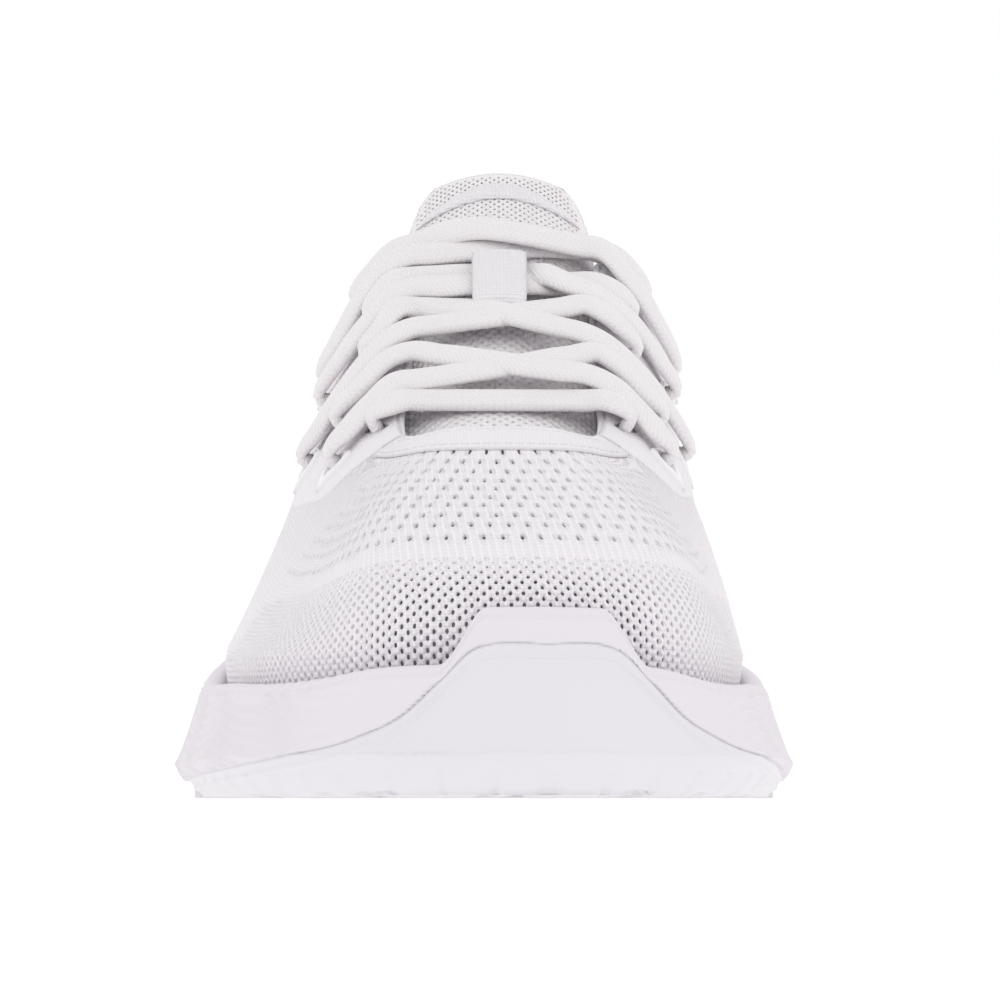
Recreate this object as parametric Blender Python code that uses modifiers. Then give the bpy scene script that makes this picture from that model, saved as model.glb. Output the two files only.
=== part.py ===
"""Running shoe, right foot, men's EU 42.

The toe points along -Y, the medial side faces +X and +Z is up. The origin is at the
bottom centre of the shoe's box. Lengths in the functions below are millimetres, with t
measured back from the tip of the toe, and they become metres when a mesh is made.
"""

import bmesh
import bpy
import numpy as np
from mathutils import Matrix, Vector
from mathutils.bvhtree import BVHTree

MM = 0.001

# Driving dimensions
LENGTH = 292.0
TOE_SPRING = 15.5
SPRING_LENGTH = 108.0
HEEL_BEVEL = 9.0
HEEL_BEVEL_START = 256.0
RUBBER = 2.6
GAP = 0.4
FLARE_HEIGHT = 6.0
BOTTOM_INSET = 4.0
RIM_INSET = 4.7
RIM_WIDTH = 3.1
RIM_CURVE = 0.8
LATERAL_DRAW = 6.0
LATERAL_CLIMB = 0.84
LIP_RISE = 8.0
KNIT = 1.6
LINING = 0.8
COUNTER = 1.4
PUFF = 0.9
BOARD = 1.5
SOCKLINER = 4.0
OVERLAY = 0.8
TONGUE_FACE = 0.9
TONGUE_PAD = 5.5
LACE_RADIUS = 1.25
HOLE_RADIUS = 2.2
AGLET_RADIUS = 1.5
AGLET_LENGTH = 20.0
KEEPER_WIDTH = 9.6
KEEPER_RISE = 5.5
AXIS_X = 3.0
PAD_INSET = 3.0
TOE_PAD_END = 76.0
FOREFOOT_PAD = (79.0, 130.0)
HEEL_PAD = (216.0, 285.0)

# Joint axes, both across the shoe: where the forefoot flexes and where the tongue tilts
FLEX_AXIS = (89.0, 15.0)
TONGUE_AXIS = (88.0, 54.0)

# Mesh density: columns on each side of the shoe, rows from feather edge to opening
HALF = 36
ROWS = (0, 0.1, 0.2, 0.3, 0.4, 0.5, 0.6, 0.7, 0.8, 0.87, 0.94, 1.0)
WIDEST_ROW = 0.2

# Plan outline of the sole's flare as (x, t), from the toe down the medial side and back
FLARE = [
    (10, 0), (31, 7), (43.5, 27), (49.3, 56), (53, 90), (53, 110), (49, 132), (45.5, 158),
    (44, 190), (44.5, 220), (43, 252), (36, 276), (22, 289), (5, 292), (-14, 288), (-29, 274),
    (-37, 250), (-40, 215), (-44, 180), (-49, 148), (-53, 121), (-53.6, 99), (-49.8, 66),
    (-39.8, 32), (-23, 9.5), (-6, 1.6),
]

# Lines of the upper: arc fraction from toe to heel, then the point where the line meets
# the opening (distance from the axis, t, z), how far the line first climbs and leans
# out, and the handle with which it arrives (outward, t, z)
UPPER_LINES = [
    (0.000, 0.0, 98, 65.5, 20, -1.0, 0.0, -62, -10.5),
    (0.100, 8.0, 98, 65.2, 19, -1.0, 12.0, -47, -9.5),
    (0.200, 15.5, 100, 63.6, 10, -4.0, 12.0, -22, -5.5),
    (0.325, 18.5, 110, 66.5, 13, -4.0, 12.0, -6, -6.0),
    (0.443, 18.0, 135, 77.5, 21, 0.0, 13.5, -2, -8.0),
    (0.562, 19.0, 160, 89.0, 30, 6.0, 14.0, 0, -9.0),
    (0.640, 21.5, 179, 97.0, 36, 6.0, 12.5, 2, -12.0),
    (0.695, 30.0, 196, 89.0, 24, 4.0, 4.0, 0, -13.0),
    (0.760, 32.5, 222, 77.5, 15, 2.5, 2.0, 0, -9.0),
    (0.826, 29.5, 246, 79.0, 15, 2.0, 2.0, 0, -9.0),
    (0.880, 23.5, 263, 88.0, 18, 2.0, 1.5, 2, -12.0),
    (0.942, 12.5, 276, 98.0, 22, 2.0, 1.0, 3, -14.0),
    (1.000, 0.0, 280, 102.5, 24, 2.5, 0.0, 4, -15.0),
]

# The tongue's ridge, from under the vamp to its top edge: (t, z)
TONGUE_RIDGE = [
    (88, 56.0), (98, 60.2), (112, 67.3), (130, 76), (150, 85.5), (168, 96.5),
    (183, 107.8), (192, 117.6),
]

# Lace holes on each side, as (place, row) on the upper, from the throat upwards
INNER_HOLES = [(0.337, 0.92), (0.422, 0.77), (0.499, 0.87), (0.569, 0.89), (0.622, 0.84)]
OUTER_HOLES = [(0.355, 0.75), (0.452, 0.62), (0.529, 0.68), (0.579, 0.67)]

# The lace's strands in the order in which it runs, from tail to tail: the hole it comes
# up through, the hole it goes down through, each as (row of holes, number, side), and its
# route over the tongue as (distance from the axis, t, extra lift).
STRANDS = [
    (
        ("inner", 4, -1), ("outer", 3, 1),
        [(-14, 177, 0.8), (-5, 172, 2.9), (5, 170, 2.9), (16, 172.5, 1.4), (26, 170, 0.4)],
    ),
    (
        ("inner", 3, 1), ("outer", 2, -1),
        [(14, 163, 0.3), (4, 156, 0.2), (-5, 155, 0.2), (-15, 159, 0.3)],
    ),
    (
        ("inner", 2, -1), ("outer", 1, 1),
        [(-15, 153, 0.4), (-8, 148.5, 0.9), (-2, 143.5, 2.9), (6, 139.5, 2.9), (15, 137.5, 0.8),
         (26, 133, 0.6)],
    ),
    (
        ("inner", 1, 1), ("outer", 0, -1),
        [(17, 130, 0.6), (6, 123.5, 0.2), (-5, 120.5, 0.2), (-18, 118.5, 0.6)],
    ),
    (
        ("inner", 0, -1), ("inner", 0, 1),
        [(-14, 114.5, 0.4), (-4, 113.5, 0.2), (6, 113, 0.2), (14, 113, 0.4)],
    ),
    (
        ("outer", 0, 1), ("inner", 1, -1),
        [(18, 118, 1.2), (9, 118.5, 2.9), (1, 122, 2.9), (-6, 126.5, 0.9), (-17, 132, 0.6)],
    ),
    (
        ("outer", 1, -1), ("inner", 2, 1),
        [(-26, 137, 0.4), (-14, 143, 0.4), (-3, 141, 0.2), (10, 147.5, 0.0), (17, 149, 0.4)],
    ),
    (
        ("outer", 2, 1), ("inner", 3, -1),
        [(15, 156, 1.4), (9, 158, 3.2), (3.5, 161, 0.4), (-5, 162, 0.2), (-14, 166, 0.3)],
    ),
    (
        ("outer", 3, -1), ("inner", 4, 1),
        [(-26, 169.5, 0.4), (-14, 171.5, 0.4), (-3, 170, 0.0), (8, 173.5, 0.0), (18, 177.5, 0.4)],
    ),
]

MATERIALS = {
    "foam": ((0.80, 0.79, 0.80), 0.65),
    "rubber": ((0.86, 0.86, 0.87), 0.45),
    "knit": ((0.78, 0.76, 0.79), 0.85),
    "lining": ((0.76, 0.75, 0.77), 0.90),
    "overlay": ((0.85, 0.84, 0.86), 0.25),
    "board": ((0.70, 0.69, 0.68), 0.90),
    "padding": ((0.82, 0.80, 0.76), 0.95),
    "stiffener": ((0.66, 0.67, 0.70), 0.60),
    "lace": ((0.74, 0.72, 0.73), 0.80),
    "aglet": ((0.80, 0.80, 0.82), 0.30),
}


# ---------------------------------------------------------------- curves and heights


def smoothstep(low, high, value):
    u = np.clip((np.asarray(value, float) - low) / (high - low), 0, 1)
    return u * u * (3 - 2 * u)


def smooth_curve(keys, values, at, period=None):
    """Values read from the smooth curve through keyed rows of values."""
    keys = np.asarray(keys, float)
    values = np.asarray(values, float).reshape(len(keys), -1)
    if period:
        keys = np.concatenate([[keys[-1] - period], keys, [keys[0] + period]])
        values = np.concatenate([values[-1:], values, values[:1]])
    slopes = np.gradient(values, keys, axis=0)
    at = np.clip(np.asarray(at, float), keys[0], keys[-1])
    i = np.clip(np.searchsorted(keys, at, side="right") - 1, 0, len(keys) - 2)
    span = (keys[i + 1] - keys[i])[..., None]
    u = (at - keys[i])[..., None] / span
    return (
        (2 * u**3 - 3 * u**2 + 1) * values[i]
        + (u**3 - 2 * u**2 + u) * span * slopes[i]
        + (3 * u**2 - 2 * u**3) * values[i + 1]
        + (u**3 - u**2) * span * slopes[i + 1]
    )


def trace_outline():
    """The flare as a loop: distance from the toe, negative on the lateral side, and points."""
    count = len(FLARE)
    loop = smooth_curve(range(count), FLARE, np.linspace(0, count, 4001)[:-1], count)
    middle = (loop.min(axis=0) + loop.max(axis=0)) / 2
    loop = np.roll(loop, -int(loop[:, 1].argmin()), axis=0)
    loop = np.vstack([loop, loop[:1]])
    distance = np.concatenate([[0], np.cumsum(np.linalg.norm(np.diff(loop, axis=0), axis=1))])
    medial = distance[int(loop[:, 1].argmax())]
    lengths = {1: medial, -1: distance[-1] - medial}
    return distance, loop, lengths, middle


DISTANCE, LOOP, LENGTHS, MIDDLE = trace_outline()


def outline_point(distance):
    distance = np.asarray(distance) % DISTANCE[-1]
    return np.stack([np.interp(distance, DISTANCE, LOOP[:, k]) for k in (0, 1)], axis=-1)


def plan(place, inset=0.0):
    """Outline point moved inwards. Place is 0 at the toe and 1 (medial) or -1 at the heel."""
    place, inset = np.broadcast_arrays(np.asarray(place, float), np.asarray(inset, float))
    distance = place * np.where(place >= 0, LENGTHS[1], LENGTHS[-1])
    along = outline_point(distance + 4.0) - outline_point(distance - 4.0)
    along /= np.linalg.norm(along, axis=-1, keepdims=True)
    inward = np.stack([-along[..., 1], along[..., 0]], axis=-1)
    return outline_point(distance) + inward * inset[..., None]


def edge_x(t, side, inset):
    """Where the inset outline of one side is at t."""
    places = side * np.linspace(1e-6, 1, 400)
    edge = plan(places, inset)
    return np.interp(t, edge[:, 1], edge[:, 0])


def arc_from_toe(place):
    return np.abs(place) * np.where(np.asarray(place) >= 0, LENGTHS[1], LENGTHS[-1])


def ground(t):
    """Height of the sole's underside: toe spring, flat, then the heel's bevel."""
    u = np.clip((SPRING_LENGTH - np.asarray(t, float)) / SPRING_LENGTH, 0, 1)
    soft = 0.15
    ramp = np.where(u < soft, u**2 / (2 * soft), u - soft / 2) / (1 - soft / 2)
    bevel = np.clip((t - HEEL_BEVEL_START) / (LENGTH - HEEL_BEVEL_START), 0, 1)
    return TOE_SPRING * ramp + HEEL_BEVEL * bevel**1.7


def rim_height(t):
    keys = (0, 5, 14, 45, 97, 130, 180, 230, 262, 292)
    heights = (33.5, 32.5, 30, 26, 21.5, 23, 30, 36.5, 41, 44)
    return smooth_curve(keys, heights, t)[..., 0]


def footbed_height(t):
    keys = (0, 20, 50, 100, 150, 200, 250, 292)
    heights = (26, 23, 18.5, 15, 18, 23, 26, 27)
    return smooth_curve(keys, heights, t)[..., 0]


def bed_height(place):
    """Height of the footbed's edge beside a place of the outline."""
    return footbed_height(plan(place, 9.0)[..., 1])


def lip(place):
    """1 on the raised toe lip and 0 away from it."""
    return 1 - smoothstep(10, 18, arc_from_toe(place))


def wrap_top(place):
    """Upper edge of the rubber that wraps the toe."""
    keys = (0, 12, 17, 22, 29, 45, 62, 90, 120)
    above = (21, 21, 16, 11.5, 8.5, 6, 4.6, 3.6, 3.2)
    t = plan(place)[..., 1]
    return ground(t) + smooth_curve(keys, above, arc_from_toe(place))[..., 0]


def wall_inset(place, z):
    """How far the sidewall is inside the flare at a height."""
    t = plan(place)[..., 1]
    flare = ground(t) + FLARE_HEIGHT
    top = rim_height(t) + LIP_RISE * lip(place)
    above = np.clip((z - flare) / (top - flare), 0, 1)
    below = np.clip((flare - z) / FLARE_HEIGHT, 0, 1)
    return (RIM_INSET + 2.5 * lip(place)) * above**RIM_CURVE + BOTTOM_INSET * below**1.5


def raised(plan_points, z):
    return np.concatenate([plan_points, np.asarray(z, float)[..., None]], axis=-1)


# ---------------------------------------------------------------- the upper's surface


def upper_outer(place, row):
    """Outer face of the upper. Row is 0 at the feather edge and 1 at the opening."""
    place, row = np.broadcast_arrays(np.asarray(place, float), np.asarray(row, float))
    place = (place + 1) % 2 - 1
    lines = np.array(UPPER_LINES)
    values = smooth_curve(lines[:, 0], lines[:, 1:], np.abs(place))
    half, t, z, climb, lean, out, back, down = np.moveaxis(values, -1, 0)
    side = np.where(place >= 0, 1.0, -1.0)
    toe = 1 - smoothstep(12, 40, arc_from_toe(place))
    wide_plan = plan(place, 8.1 + 2.6 * toe)
    low = raised(plan(place, 9.4 + 1.4 * toe), bed_height(place) + GAP)
    wide = raised(wide_plan, rim_height(wide_plan[..., 1]) + 5)
    outward = (plan(place) - plan(place, 10)) / 10
    drawn = np.where(place < 0, smoothstep(0.05, 0.2, -place) * smoothstep(-0.7, -0.56, place), 0)
    lean = lean - LATERAL_DRAW * drawn
    climb = climb * (1 - (1 - LATERAL_CLIMB) * drawn)
    first = wide + raised(outward * lean[..., None], climb)
    top = np.stack([AXIS_X + side * half, t, z], axis=-1)
    second = top + np.stack([side * out, back, down], axis=-1)
    u = np.clip(row / WIDEST_ROW, 0, 1)[..., None]
    v = np.clip((row - WIDEST_ROW) / (1 - WIDEST_ROW), 0, 1)[..., None]
    arch = (
        (1 - v) ** 3 * wide
        + 3 * (1 - v) ** 2 * v * first
        + 3 * (1 - v) * v**2 * second
        + v**3 * top
    )
    return np.where(row[..., None] < WIDEST_ROW, low + (wide - low) * u, arch)


def upper(place, row, proud=0.0):
    """A point of the upper, moved out along its normal by proud."""
    place, row = np.broadcast_arrays(np.asarray(place, float), np.asarray(row, float))
    small = 0.004
    along = upper_outer(place + small, row) - upper_outer(place - small, row)
    up = upper_outer(place, np.clip(row + small, 0, 1)) - upper_outer(
        place, np.clip(row - small, 0, 1)
    )
    normal = np.cross(along, up)
    normal /= np.linalg.norm(normal, axis=-1, keepdims=True)
    return upper_outer(place, row) + normal * np.asarray(proud)[..., None]


def upper_patch(first, last, low_row, high_row, proud):
    """Grid of the upper between two columns (-HALF to HALF, 0 at the toe) and rows."""
    columns = np.arange(first, last + 1) / HALF
    rows = np.array(ROWS[low_row : high_row + 1])
    place, row = np.meshgrid(columns, rows)
    depth = proud(row) if callable(proud) else np.full(row.shape, proud)
    return upper(place, row, depth)


# ---------------------------------------------------------------- the tongue's surface


def tongue_outer(across, along):
    """Face of the tongue: across from -1 to 1, along from 0 under the vamp to 1."""
    across, along = np.broadcast_arrays(np.asarray(across, float), np.asarray(along, float))
    keys = np.linspace(0, 1, len(TONGUE_RIDGE))
    ridge = smooth_curve(keys, TONGUE_RIDGE, along)
    ahead = smooth_curve(keys, TONGUE_RIDGE, along + 0.02)
    behind = smooth_curve(keys, TONGUE_RIDGE, along - 0.02)
    slope = (ahead - behind) / np.linalg.norm(ahead - behind, axis=-1, keepdims=True)
    half = 17 + 3.3 * smoothstep(0, 0.4, along)
    half = half * np.sqrt(1 - 0.72 * np.clip((along - 0.70) / 0.30, 0, 1) ** 3)
    aside = across * half
    drop = 0.0157 * aside**2 + 0.25 * np.maximum(np.abs(aside) - 17, 0)
    x = AXIS_X - 0.5 * along + aside
    return np.stack([x, ridge[..., 0] + slope[..., 1] * drop, ridge[..., 1] - slope[..., 0] * drop], -1)


def tongue(across, along, proud=0.0):
    """A point of the tongue, moved out along the normal of its face."""
    small = 0.01
    one = tongue_outer(np.clip(across + small, -1, 1), along)
    one -= tongue_outer(np.clip(across - small, -1, 1), along)
    two = tongue_outer(across, np.clip(along + small, 0, 1))
    two -= tongue_outer(across, np.clip(along - small, 0, 1))
    normal = np.cross(one, two)
    normal /= np.linalg.norm(normal, axis=-1, keepdims=True)
    return tongue_outer(across, along) + normal * np.asarray(proud)[..., None]


def tongue_patch(across_limits, along_limits, columns, rows, proud):
    across, along = np.meshgrid(
        np.linspace(*across_limits, columns), np.linspace(*along_limits, rows)
    )
    depth = proud(across, along) if callable(proud) else np.full(across.shape, proud)
    return tongue(across, along, depth)


# ---------------------------------------------------------------- meshes


def clear_scene():
    for obj in list(bpy.data.objects):
        bpy.data.objects.remove(obj)


def new_collection(name):
    collection = bpy.data.collections.new(name)
    bpy.context.scene.collection.children.link(collection)
    return collection


def material(kind):
    found = bpy.data.materials.get(kind)
    if found:
        return found
    colour, roughness = MATERIALS[kind]
    made = bpy.data.materials.new(kind)
    made.use_nodes = True
    shader = made.node_tree.nodes["Principled BSDF"]
    shader.inputs["Base Color"].default_value = (*colour, 1)
    shader.inputs["Roughness"].default_value = roughness
    shader.inputs["Metallic"].default_value = 0.0
    return made


def to_world(points):
    """Millimetres with t from the toe, to metres in the shoe's frame."""
    shift = np.array([MIDDLE[0], MIDDLE[1], 0.0])
    return (np.asarray(points, float).reshape(-1, 3) - shift) * MM


def add_mesh(name, points, faces, kind, tidy=False):
    mesh = bpy.data.meshes.new(name)
    mesh.from_pydata(to_world(points).tolist(), [], faces)
    if tidy:
        work = bmesh.new()
        work.from_mesh(mesh)
        bmesh.ops.recalc_face_normals(work, faces=work.faces)
        work.to_mesh(mesh)
        work.free()
    mesh.shade_smooth()
    obj = bpy.data.objects.new(name, mesh)
    obj.data.materials.append(material(kind))
    SHOE.objects.link(obj)
    return obj


def grid_faces(rows, columns, start=0):
    return [
        (a, a + 1, a + columns + 1, a + columns)
        for r in range(rows - 1)
        for a in range(start + r * columns, start + r * columns + columns - 1)
    ]


def skin(name, points, thickness, kind):
    """A shell whose outer face is the grid, thickened inwards."""
    rows, columns, _ = points.shape
    obj = add_mesh(name, points, grid_faces(rows, columns), kind)
    solidify = obj.modifiers.new("thickness", "SOLIDIFY")
    solidify.thickness = thickness * MM
    solidify.offset = -1
    return obj


def between(name, outer, inner, kind):
    """A closed pad between two grids of the same size."""
    rows, columns, _ = outer.shape
    size = rows * columns
    border = list(range(columns)) + [r * columns + columns - 1 for r in range(1, rows)]
    border += [size - 1 - c for c in range(1, columns)]
    border += [r * columns for r in range(rows - 2, 0, -1)]
    faces = grid_faces(rows, columns) + grid_faces(rows, columns, size)
    faces += [(a, b, b + size, a + size) for a, b in zip(border, border[1:] + border[:1])]
    points = np.concatenate([outer.reshape(-1, 3), inner.reshape(-1, 3)])
    return add_mesh(name, points, faces, kind, tidy=True)


def loop_places(columns=HALF):
    """Places once round the shoe: toe, medial side, heel, lateral side."""
    ahead = np.arange(columns + 1) / columns
    return np.concatenate([ahead, -ahead[-2:0:-1]])


def ring_solid(name, rings, kind):
    """Closed body through rings round the shoe, each end closed straight across."""
    count = len(rings[0])
    faces = [
        (k * count + i, k * count + (i + 1) % count, (k + 1) * count + (i + 1) % count, (k + 1) * count + i)
        for k in range(len(rings) - 1)
        for i in range(count)
    ]
    for start in (0, (len(rings) - 1) * count):
        for i in range(count // 2):
            across = [start + i, start + i + 1, start + (count - i - 1) % count]
            if i:
                across.append(start + count - i)
            faces.append(tuple(dict.fromkeys(across)))
    return add_mesh(name, np.concatenate(rings), faces, kind, tidy=True)


def pad(name, stations, left, right, low, high, kind):
    """A slab across the sole between two edges, from low to high above the ground."""
    corners = []
    for t, x_left, x_right in zip(stations, left, right):
        z = ground(t)
        corners += [(x_left, t, z + low), (x_right, t, z + low)]
        corners += [(x_right, t, z + high), (x_left, t, z + high)]
    faces = [(0, 1, 2, 3), tuple(len(corners) - 4 + k for k in (3, 2, 1, 0))]
    for s in range(len(stations) - 1):
        a = 4 * s
        faces += [(a + k, a + (k + 1) % 4, a + 4 + (k + 1) % 4, a + 4 + k) for k in range(4)]
    return add_mesh(name, corners, faces, kind, tidy=True)


# ---------------------------------------------------------------- sole


def make_midsole():
    place = loop_places()
    t = plan(place)[:, 1]
    raise_ = lip(place)
    rim = rim_height(t) + LIP_RISE * raise_
    covered = 1 - smoothstep(TOE_PAD_END + 1, TOE_PAD_END + 9, t)
    under = (RUBBER + 3.5 * GAP) * covered
    bottom = ground(t) + RUBBER + GAP
    over_wrap = wrap_top(place) + 0.8
    clear = over_wrap + 2.2
    middle = np.maximum(clear + 0.6, (clear + rim) / 2)
    inner = wall_inset(place, rim) + RIM_WIDTH - 0.9 * raise_
    toe = 1 - smoothstep(12, 40, arc_from_toe(place))
    levels = [
        (wall_inset(place, bottom) + under, bottom),
        (wall_inset(place, over_wrap) + under, over_wrap),
        (wall_inset(place, clear), clear),
        (wall_inset(place, middle), middle),
        (wall_inset(place, rim - 0.8), rim - 0.8),
        (wall_inset(place, rim) + 0.8, rim),
        (inner - 0.7, rim),
        (inner, rim - 0.7),
        (8.9 + 1.4 * toe, bed_height(place)),
    ]
    rings = [raised(plan(place, inset), z) for inset, z in levels]
    ring_solid("midsole", rings, "foam")


def make_outsole_toe():
    """Rubber under the toe that wraps up over the toe's lip."""
    places = loop_places()
    t = plan(places)[:, 1]
    reach = int(np.searchsorted(np.maximum(t[1:HALF], t[:HALF:-1]), TOE_PAD_END))
    place = np.arange(-reach, reach + 1) / HALF
    t = plan(place)[:, 1]
    top = wrap_top(place)
    floor = ground(t)
    rings = []
    for z in (top, np.minimum(floor + FLARE_HEIGHT, (top + floor) / 2), floor):
        rings.append(raised(plan(place, wall_inset(place, z)), z))
    columns = len(place)
    faces = [face[::-1] for face in grid_faces(3, columns)]
    start = 2 * columns
    for i in range(reach):
        row = [start + i, start + i + 1, start + columns - 2 - i, start + columns - 1 - i]
        faces.append(tuple(dict.fromkeys(row)))
    obj = add_mesh("outsole_toe", np.concatenate(rings), faces, "rubber", tidy=True)
    solidify = obj.modifiers.new("thickness", "SOLIDIFY")
    solidify.thickness = RUBBER * MM
    solidify.offset = -1
    solidify.use_even_offset = True


def make_outsole_pads():
    stations = np.linspace(*FOREFOOT_PAD, 8)
    edges = [edge_x(stations, side, PAD_INSET) for side in (-1, 1)]
    pad("outsole_forefoot", stations, *edges, 0, RUBBER, "rubber")
    stations = np.linspace(*HEEL_PAD, 9)
    lateral, medial = (edge_x(stations, side, PAD_INSET) for side in (-1, 1))
    groove = np.full(len(stations), 4.5)
    pad("outsole_heel_lateral", stations, lateral, groove - 5, 0, RUBBER, "rubber")
    pad("outsole_heel_medial", stations, groove + 5, medial, 0, RUBBER, "rubber")


def flat_layer(name, inset, low, high, kind):
    """A sheet that fills the footbed, from low to high above it."""
    place = loop_places(24)
    toe = 1 - smoothstep(12, 40, arc_from_toe(place))
    outline = plan(place, inset + 2.3 * toe)
    bed = bed_height(place)
    ring_solid(name, [raised(outline, bed + low), raised(outline, bed + high)], kind)


# ---------------------------------------------------------------- upper


def make_upper():
    rows, columns = len(ROWS), 2 * HALF
    points = upper_patch(-HALF, HALF - 1, 0, rows - 1, 0.0)
    faces = []
    for r in range(rows - 1):
        for c in range(columns):
            a, b = r * columns + c, r * columns + (c + 1) % columns
            faces.append((a, b, b + columns, a + columns))
    obj = add_mesh("upper_knit", points, faces, "knit")
    solidify = obj.modifiers.new("thickness", "SOLIDIFY")
    solidify.thickness = KNIT * MM
    solidify.offset = -1


def heel_patch(start, low_row, high_row, proud):
    """Grid round the heel from the lateral column to the medial one."""
    columns = np.concatenate([np.arange(start, HALF + 1), np.arange(-HALF + 1, -start + 1)])
    place, row = np.meshgrid(columns / HALF, np.array(ROWS[low_row : high_row + 1]))
    depth = proud(row) if callable(proud) else np.full(row.shape, proud)
    return upper(place, row, depth)


def pad_depth(row):
    """Depth of the collar padding's inner face below the knit's outer face."""
    return -(KNIT + GAP) - np.interp(row, (0.7, 0.8, 0.87, 0.94), (2.0, 5.0, 5.0, 2.4))


def collar_lining_depth(row):
    low = -(KNIT + GAP + COUNTER + GAP)
    inner = np.interp(row, (0.6, 0.7, 0.8, 0.87, 0.94, 1.0), (0, -0.6, -4.0, -4.0, -1.4, 0.8))
    return low + inner


def make_upper_layers():
    skin("toe_puff", upper_patch(-6, 6, 2, 6, -(KNIT + GAP)), PUFF, "stiffener")
    under_puff = -(KNIT + GAP + PUFF + GAP)
    skin("vamp_lining", upper_patch(-20, 20, 1, 4, under_puff), LINING, "lining")
    skin("heel_counter", heel_patch(26, 1, 6, -(KNIT + GAP)), COUNTER, "stiffener")
    outer = heel_patch(24, 7, 10, -(KNIT + GAP))
    between("collar_foam", outer, heel_patch(24, 7, 10, pad_depth), "padding")
    skin("collar_lining", heel_patch(24, 1, 11, collar_lining_depth), LINING, "lining")
    skin("heel_clip", heel_patch(29, 2, 5, GAP + 1.2), 1.2, "overlay")
    proud = GAP + OVERLAY
    skin("throat_band", upper_patch(-8, 8, 9, 11, proud), OVERLAY, "overlay")
    skin("eyestay_medial", upper_patch(9, 23, 5, 11, proud), OVERLAY, "overlay")
    skin("eyestay_lateral", upper_patch(-23, -9, 5, 11, proud), OVERLAY, "overlay")


# ---------------------------------------------------------------- tongue


def tongue_pad_depth(across, along):
    """Depth of the tongue padding's inner face: thinner at the edges and at the throat."""
    thick = TONGUE_PAD * (1 - 0.6 * across**2) * (0.35 + 0.65 * smoothstep(0, 0.35, along))
    return -(TONGUE_FACE + GAP) - thick


def make_tongue():
    whole = ((-1, 1), (0, 1), 11, 14)
    skin("tongue_face", tongue_patch(*whole, 0.0), TONGUE_FACE, "knit")
    outer = tongue_patch(*whole, -(TONGUE_FACE + GAP))
    between("tongue_foam", outer, tongue_patch(*whole, tongue_pad_depth), "padding")
    below = tongue_patch(*whole, lambda a, b: tongue_pad_depth(a, b) - GAP)
    skin("tongue_lining", below, LINING, "lining")
    label = tongue_patch((-0.62, 0.62), (0.885, 0.945), 7, 3, GAP + 0.6)
    skin("tongue_label", label, 0.6, "overlay")


def make_keeper():
    """Webbing loop on the tongue that the third pair of strands runs through."""
    along = np.array([0.558, 0.566, 0.574, 0.60, 0.63, 0.67, 0.693, 0.701, 0.709])
    rise = np.array([0.0, 0.45, 0.9, 1, 1, 1, 0.9, 0.45, 0.0]) * KEEPER_RISE
    across = np.linspace(-1, 1, 3) * KEEPER_WIDTH / 2
    rows = []
    for b, height in zip(along, rise):
        half = np.linalg.norm(tongue_outer(1.0, b) - tongue_outer(0.0, b))
        rows.append(tongue(across / half, np.full(3, b), np.full(3, GAP + 0.9 + height)))
    skin("lace_keeper", np.array(rows), 0.9, "knit")


# ---------------------------------------------------------------- lace


def hole_place(hole):
    kind, number, side = hole
    place, row = (INNER_HOLES if kind == "inner" else OUTER_HOLES)[number]
    return side * place, row


def at_hole(hole, proud):
    place, row = hole_place(hole)
    return upper(place, row, proud)


def cut_lace_holes():
    """Cuts every lace hole through the knit and the eyestays."""
    cutter = bmesh.new()
    rows = (("inner", len(INNER_HOLES)), ("outer", len(OUTER_HOLES)))
    holes = [(kind, k, side) for side in (-1, 1) for kind, count in rows for k in range(count)]
    for hole in holes:
        foot, head = (Vector(to_world(at_hole(hole, proud))[0]) for proud in (-4.0, 4.0))
        turn = (head - foot).to_track_quat("Z", "Y").to_matrix().to_4x4()
        turn.translation = (head + foot) / 2
        bmesh.ops.create_cone(
            cutter, cap_ends=True, segments=8, radius1=HOLE_RADIUS * MM,
            radius2=HOLE_RADIUS * MM, depth=(head - foot).length, matrix=turn,
        )
    mesh = bpy.data.meshes.new("lace_hole_cutter")
    cutter.to_mesh(mesh)
    cutter.free()
    obj = bpy.data.objects.new("lace_hole_cutter", mesh)
    obj.hide_render = True
    obj.display_type = "WIRE"
    CUTTERS.objects.link(obj)
    for name in ("upper_knit", "eyestay_medial", "eyestay_lateral"):
        cut = bpy.data.objects[name].modifiers.new("lace_holes", "BOOLEAN")
        cut.operation = "DIFFERENCE"
        cut.object = obj


def surface_tree(names):
    """A tree of the named pieces' finished surfaces, for resting the lace on them."""
    graph = bpy.context.evaluated_depsgraph_get()
    corners, faces = [], []
    for name in names:
        done = bpy.data.objects[name].evaluated_get(graph)
        mesh = done.to_mesh()
        start = len(corners)
        corners += [vertex.co.copy() for vertex in mesh.vertices]
        faces += [[start + i for i in polygon.vertices] for polygon in mesh.polygons]
        done.to_mesh_clear()
    return BVHTree.FromPolygons(corners, faces)


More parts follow.
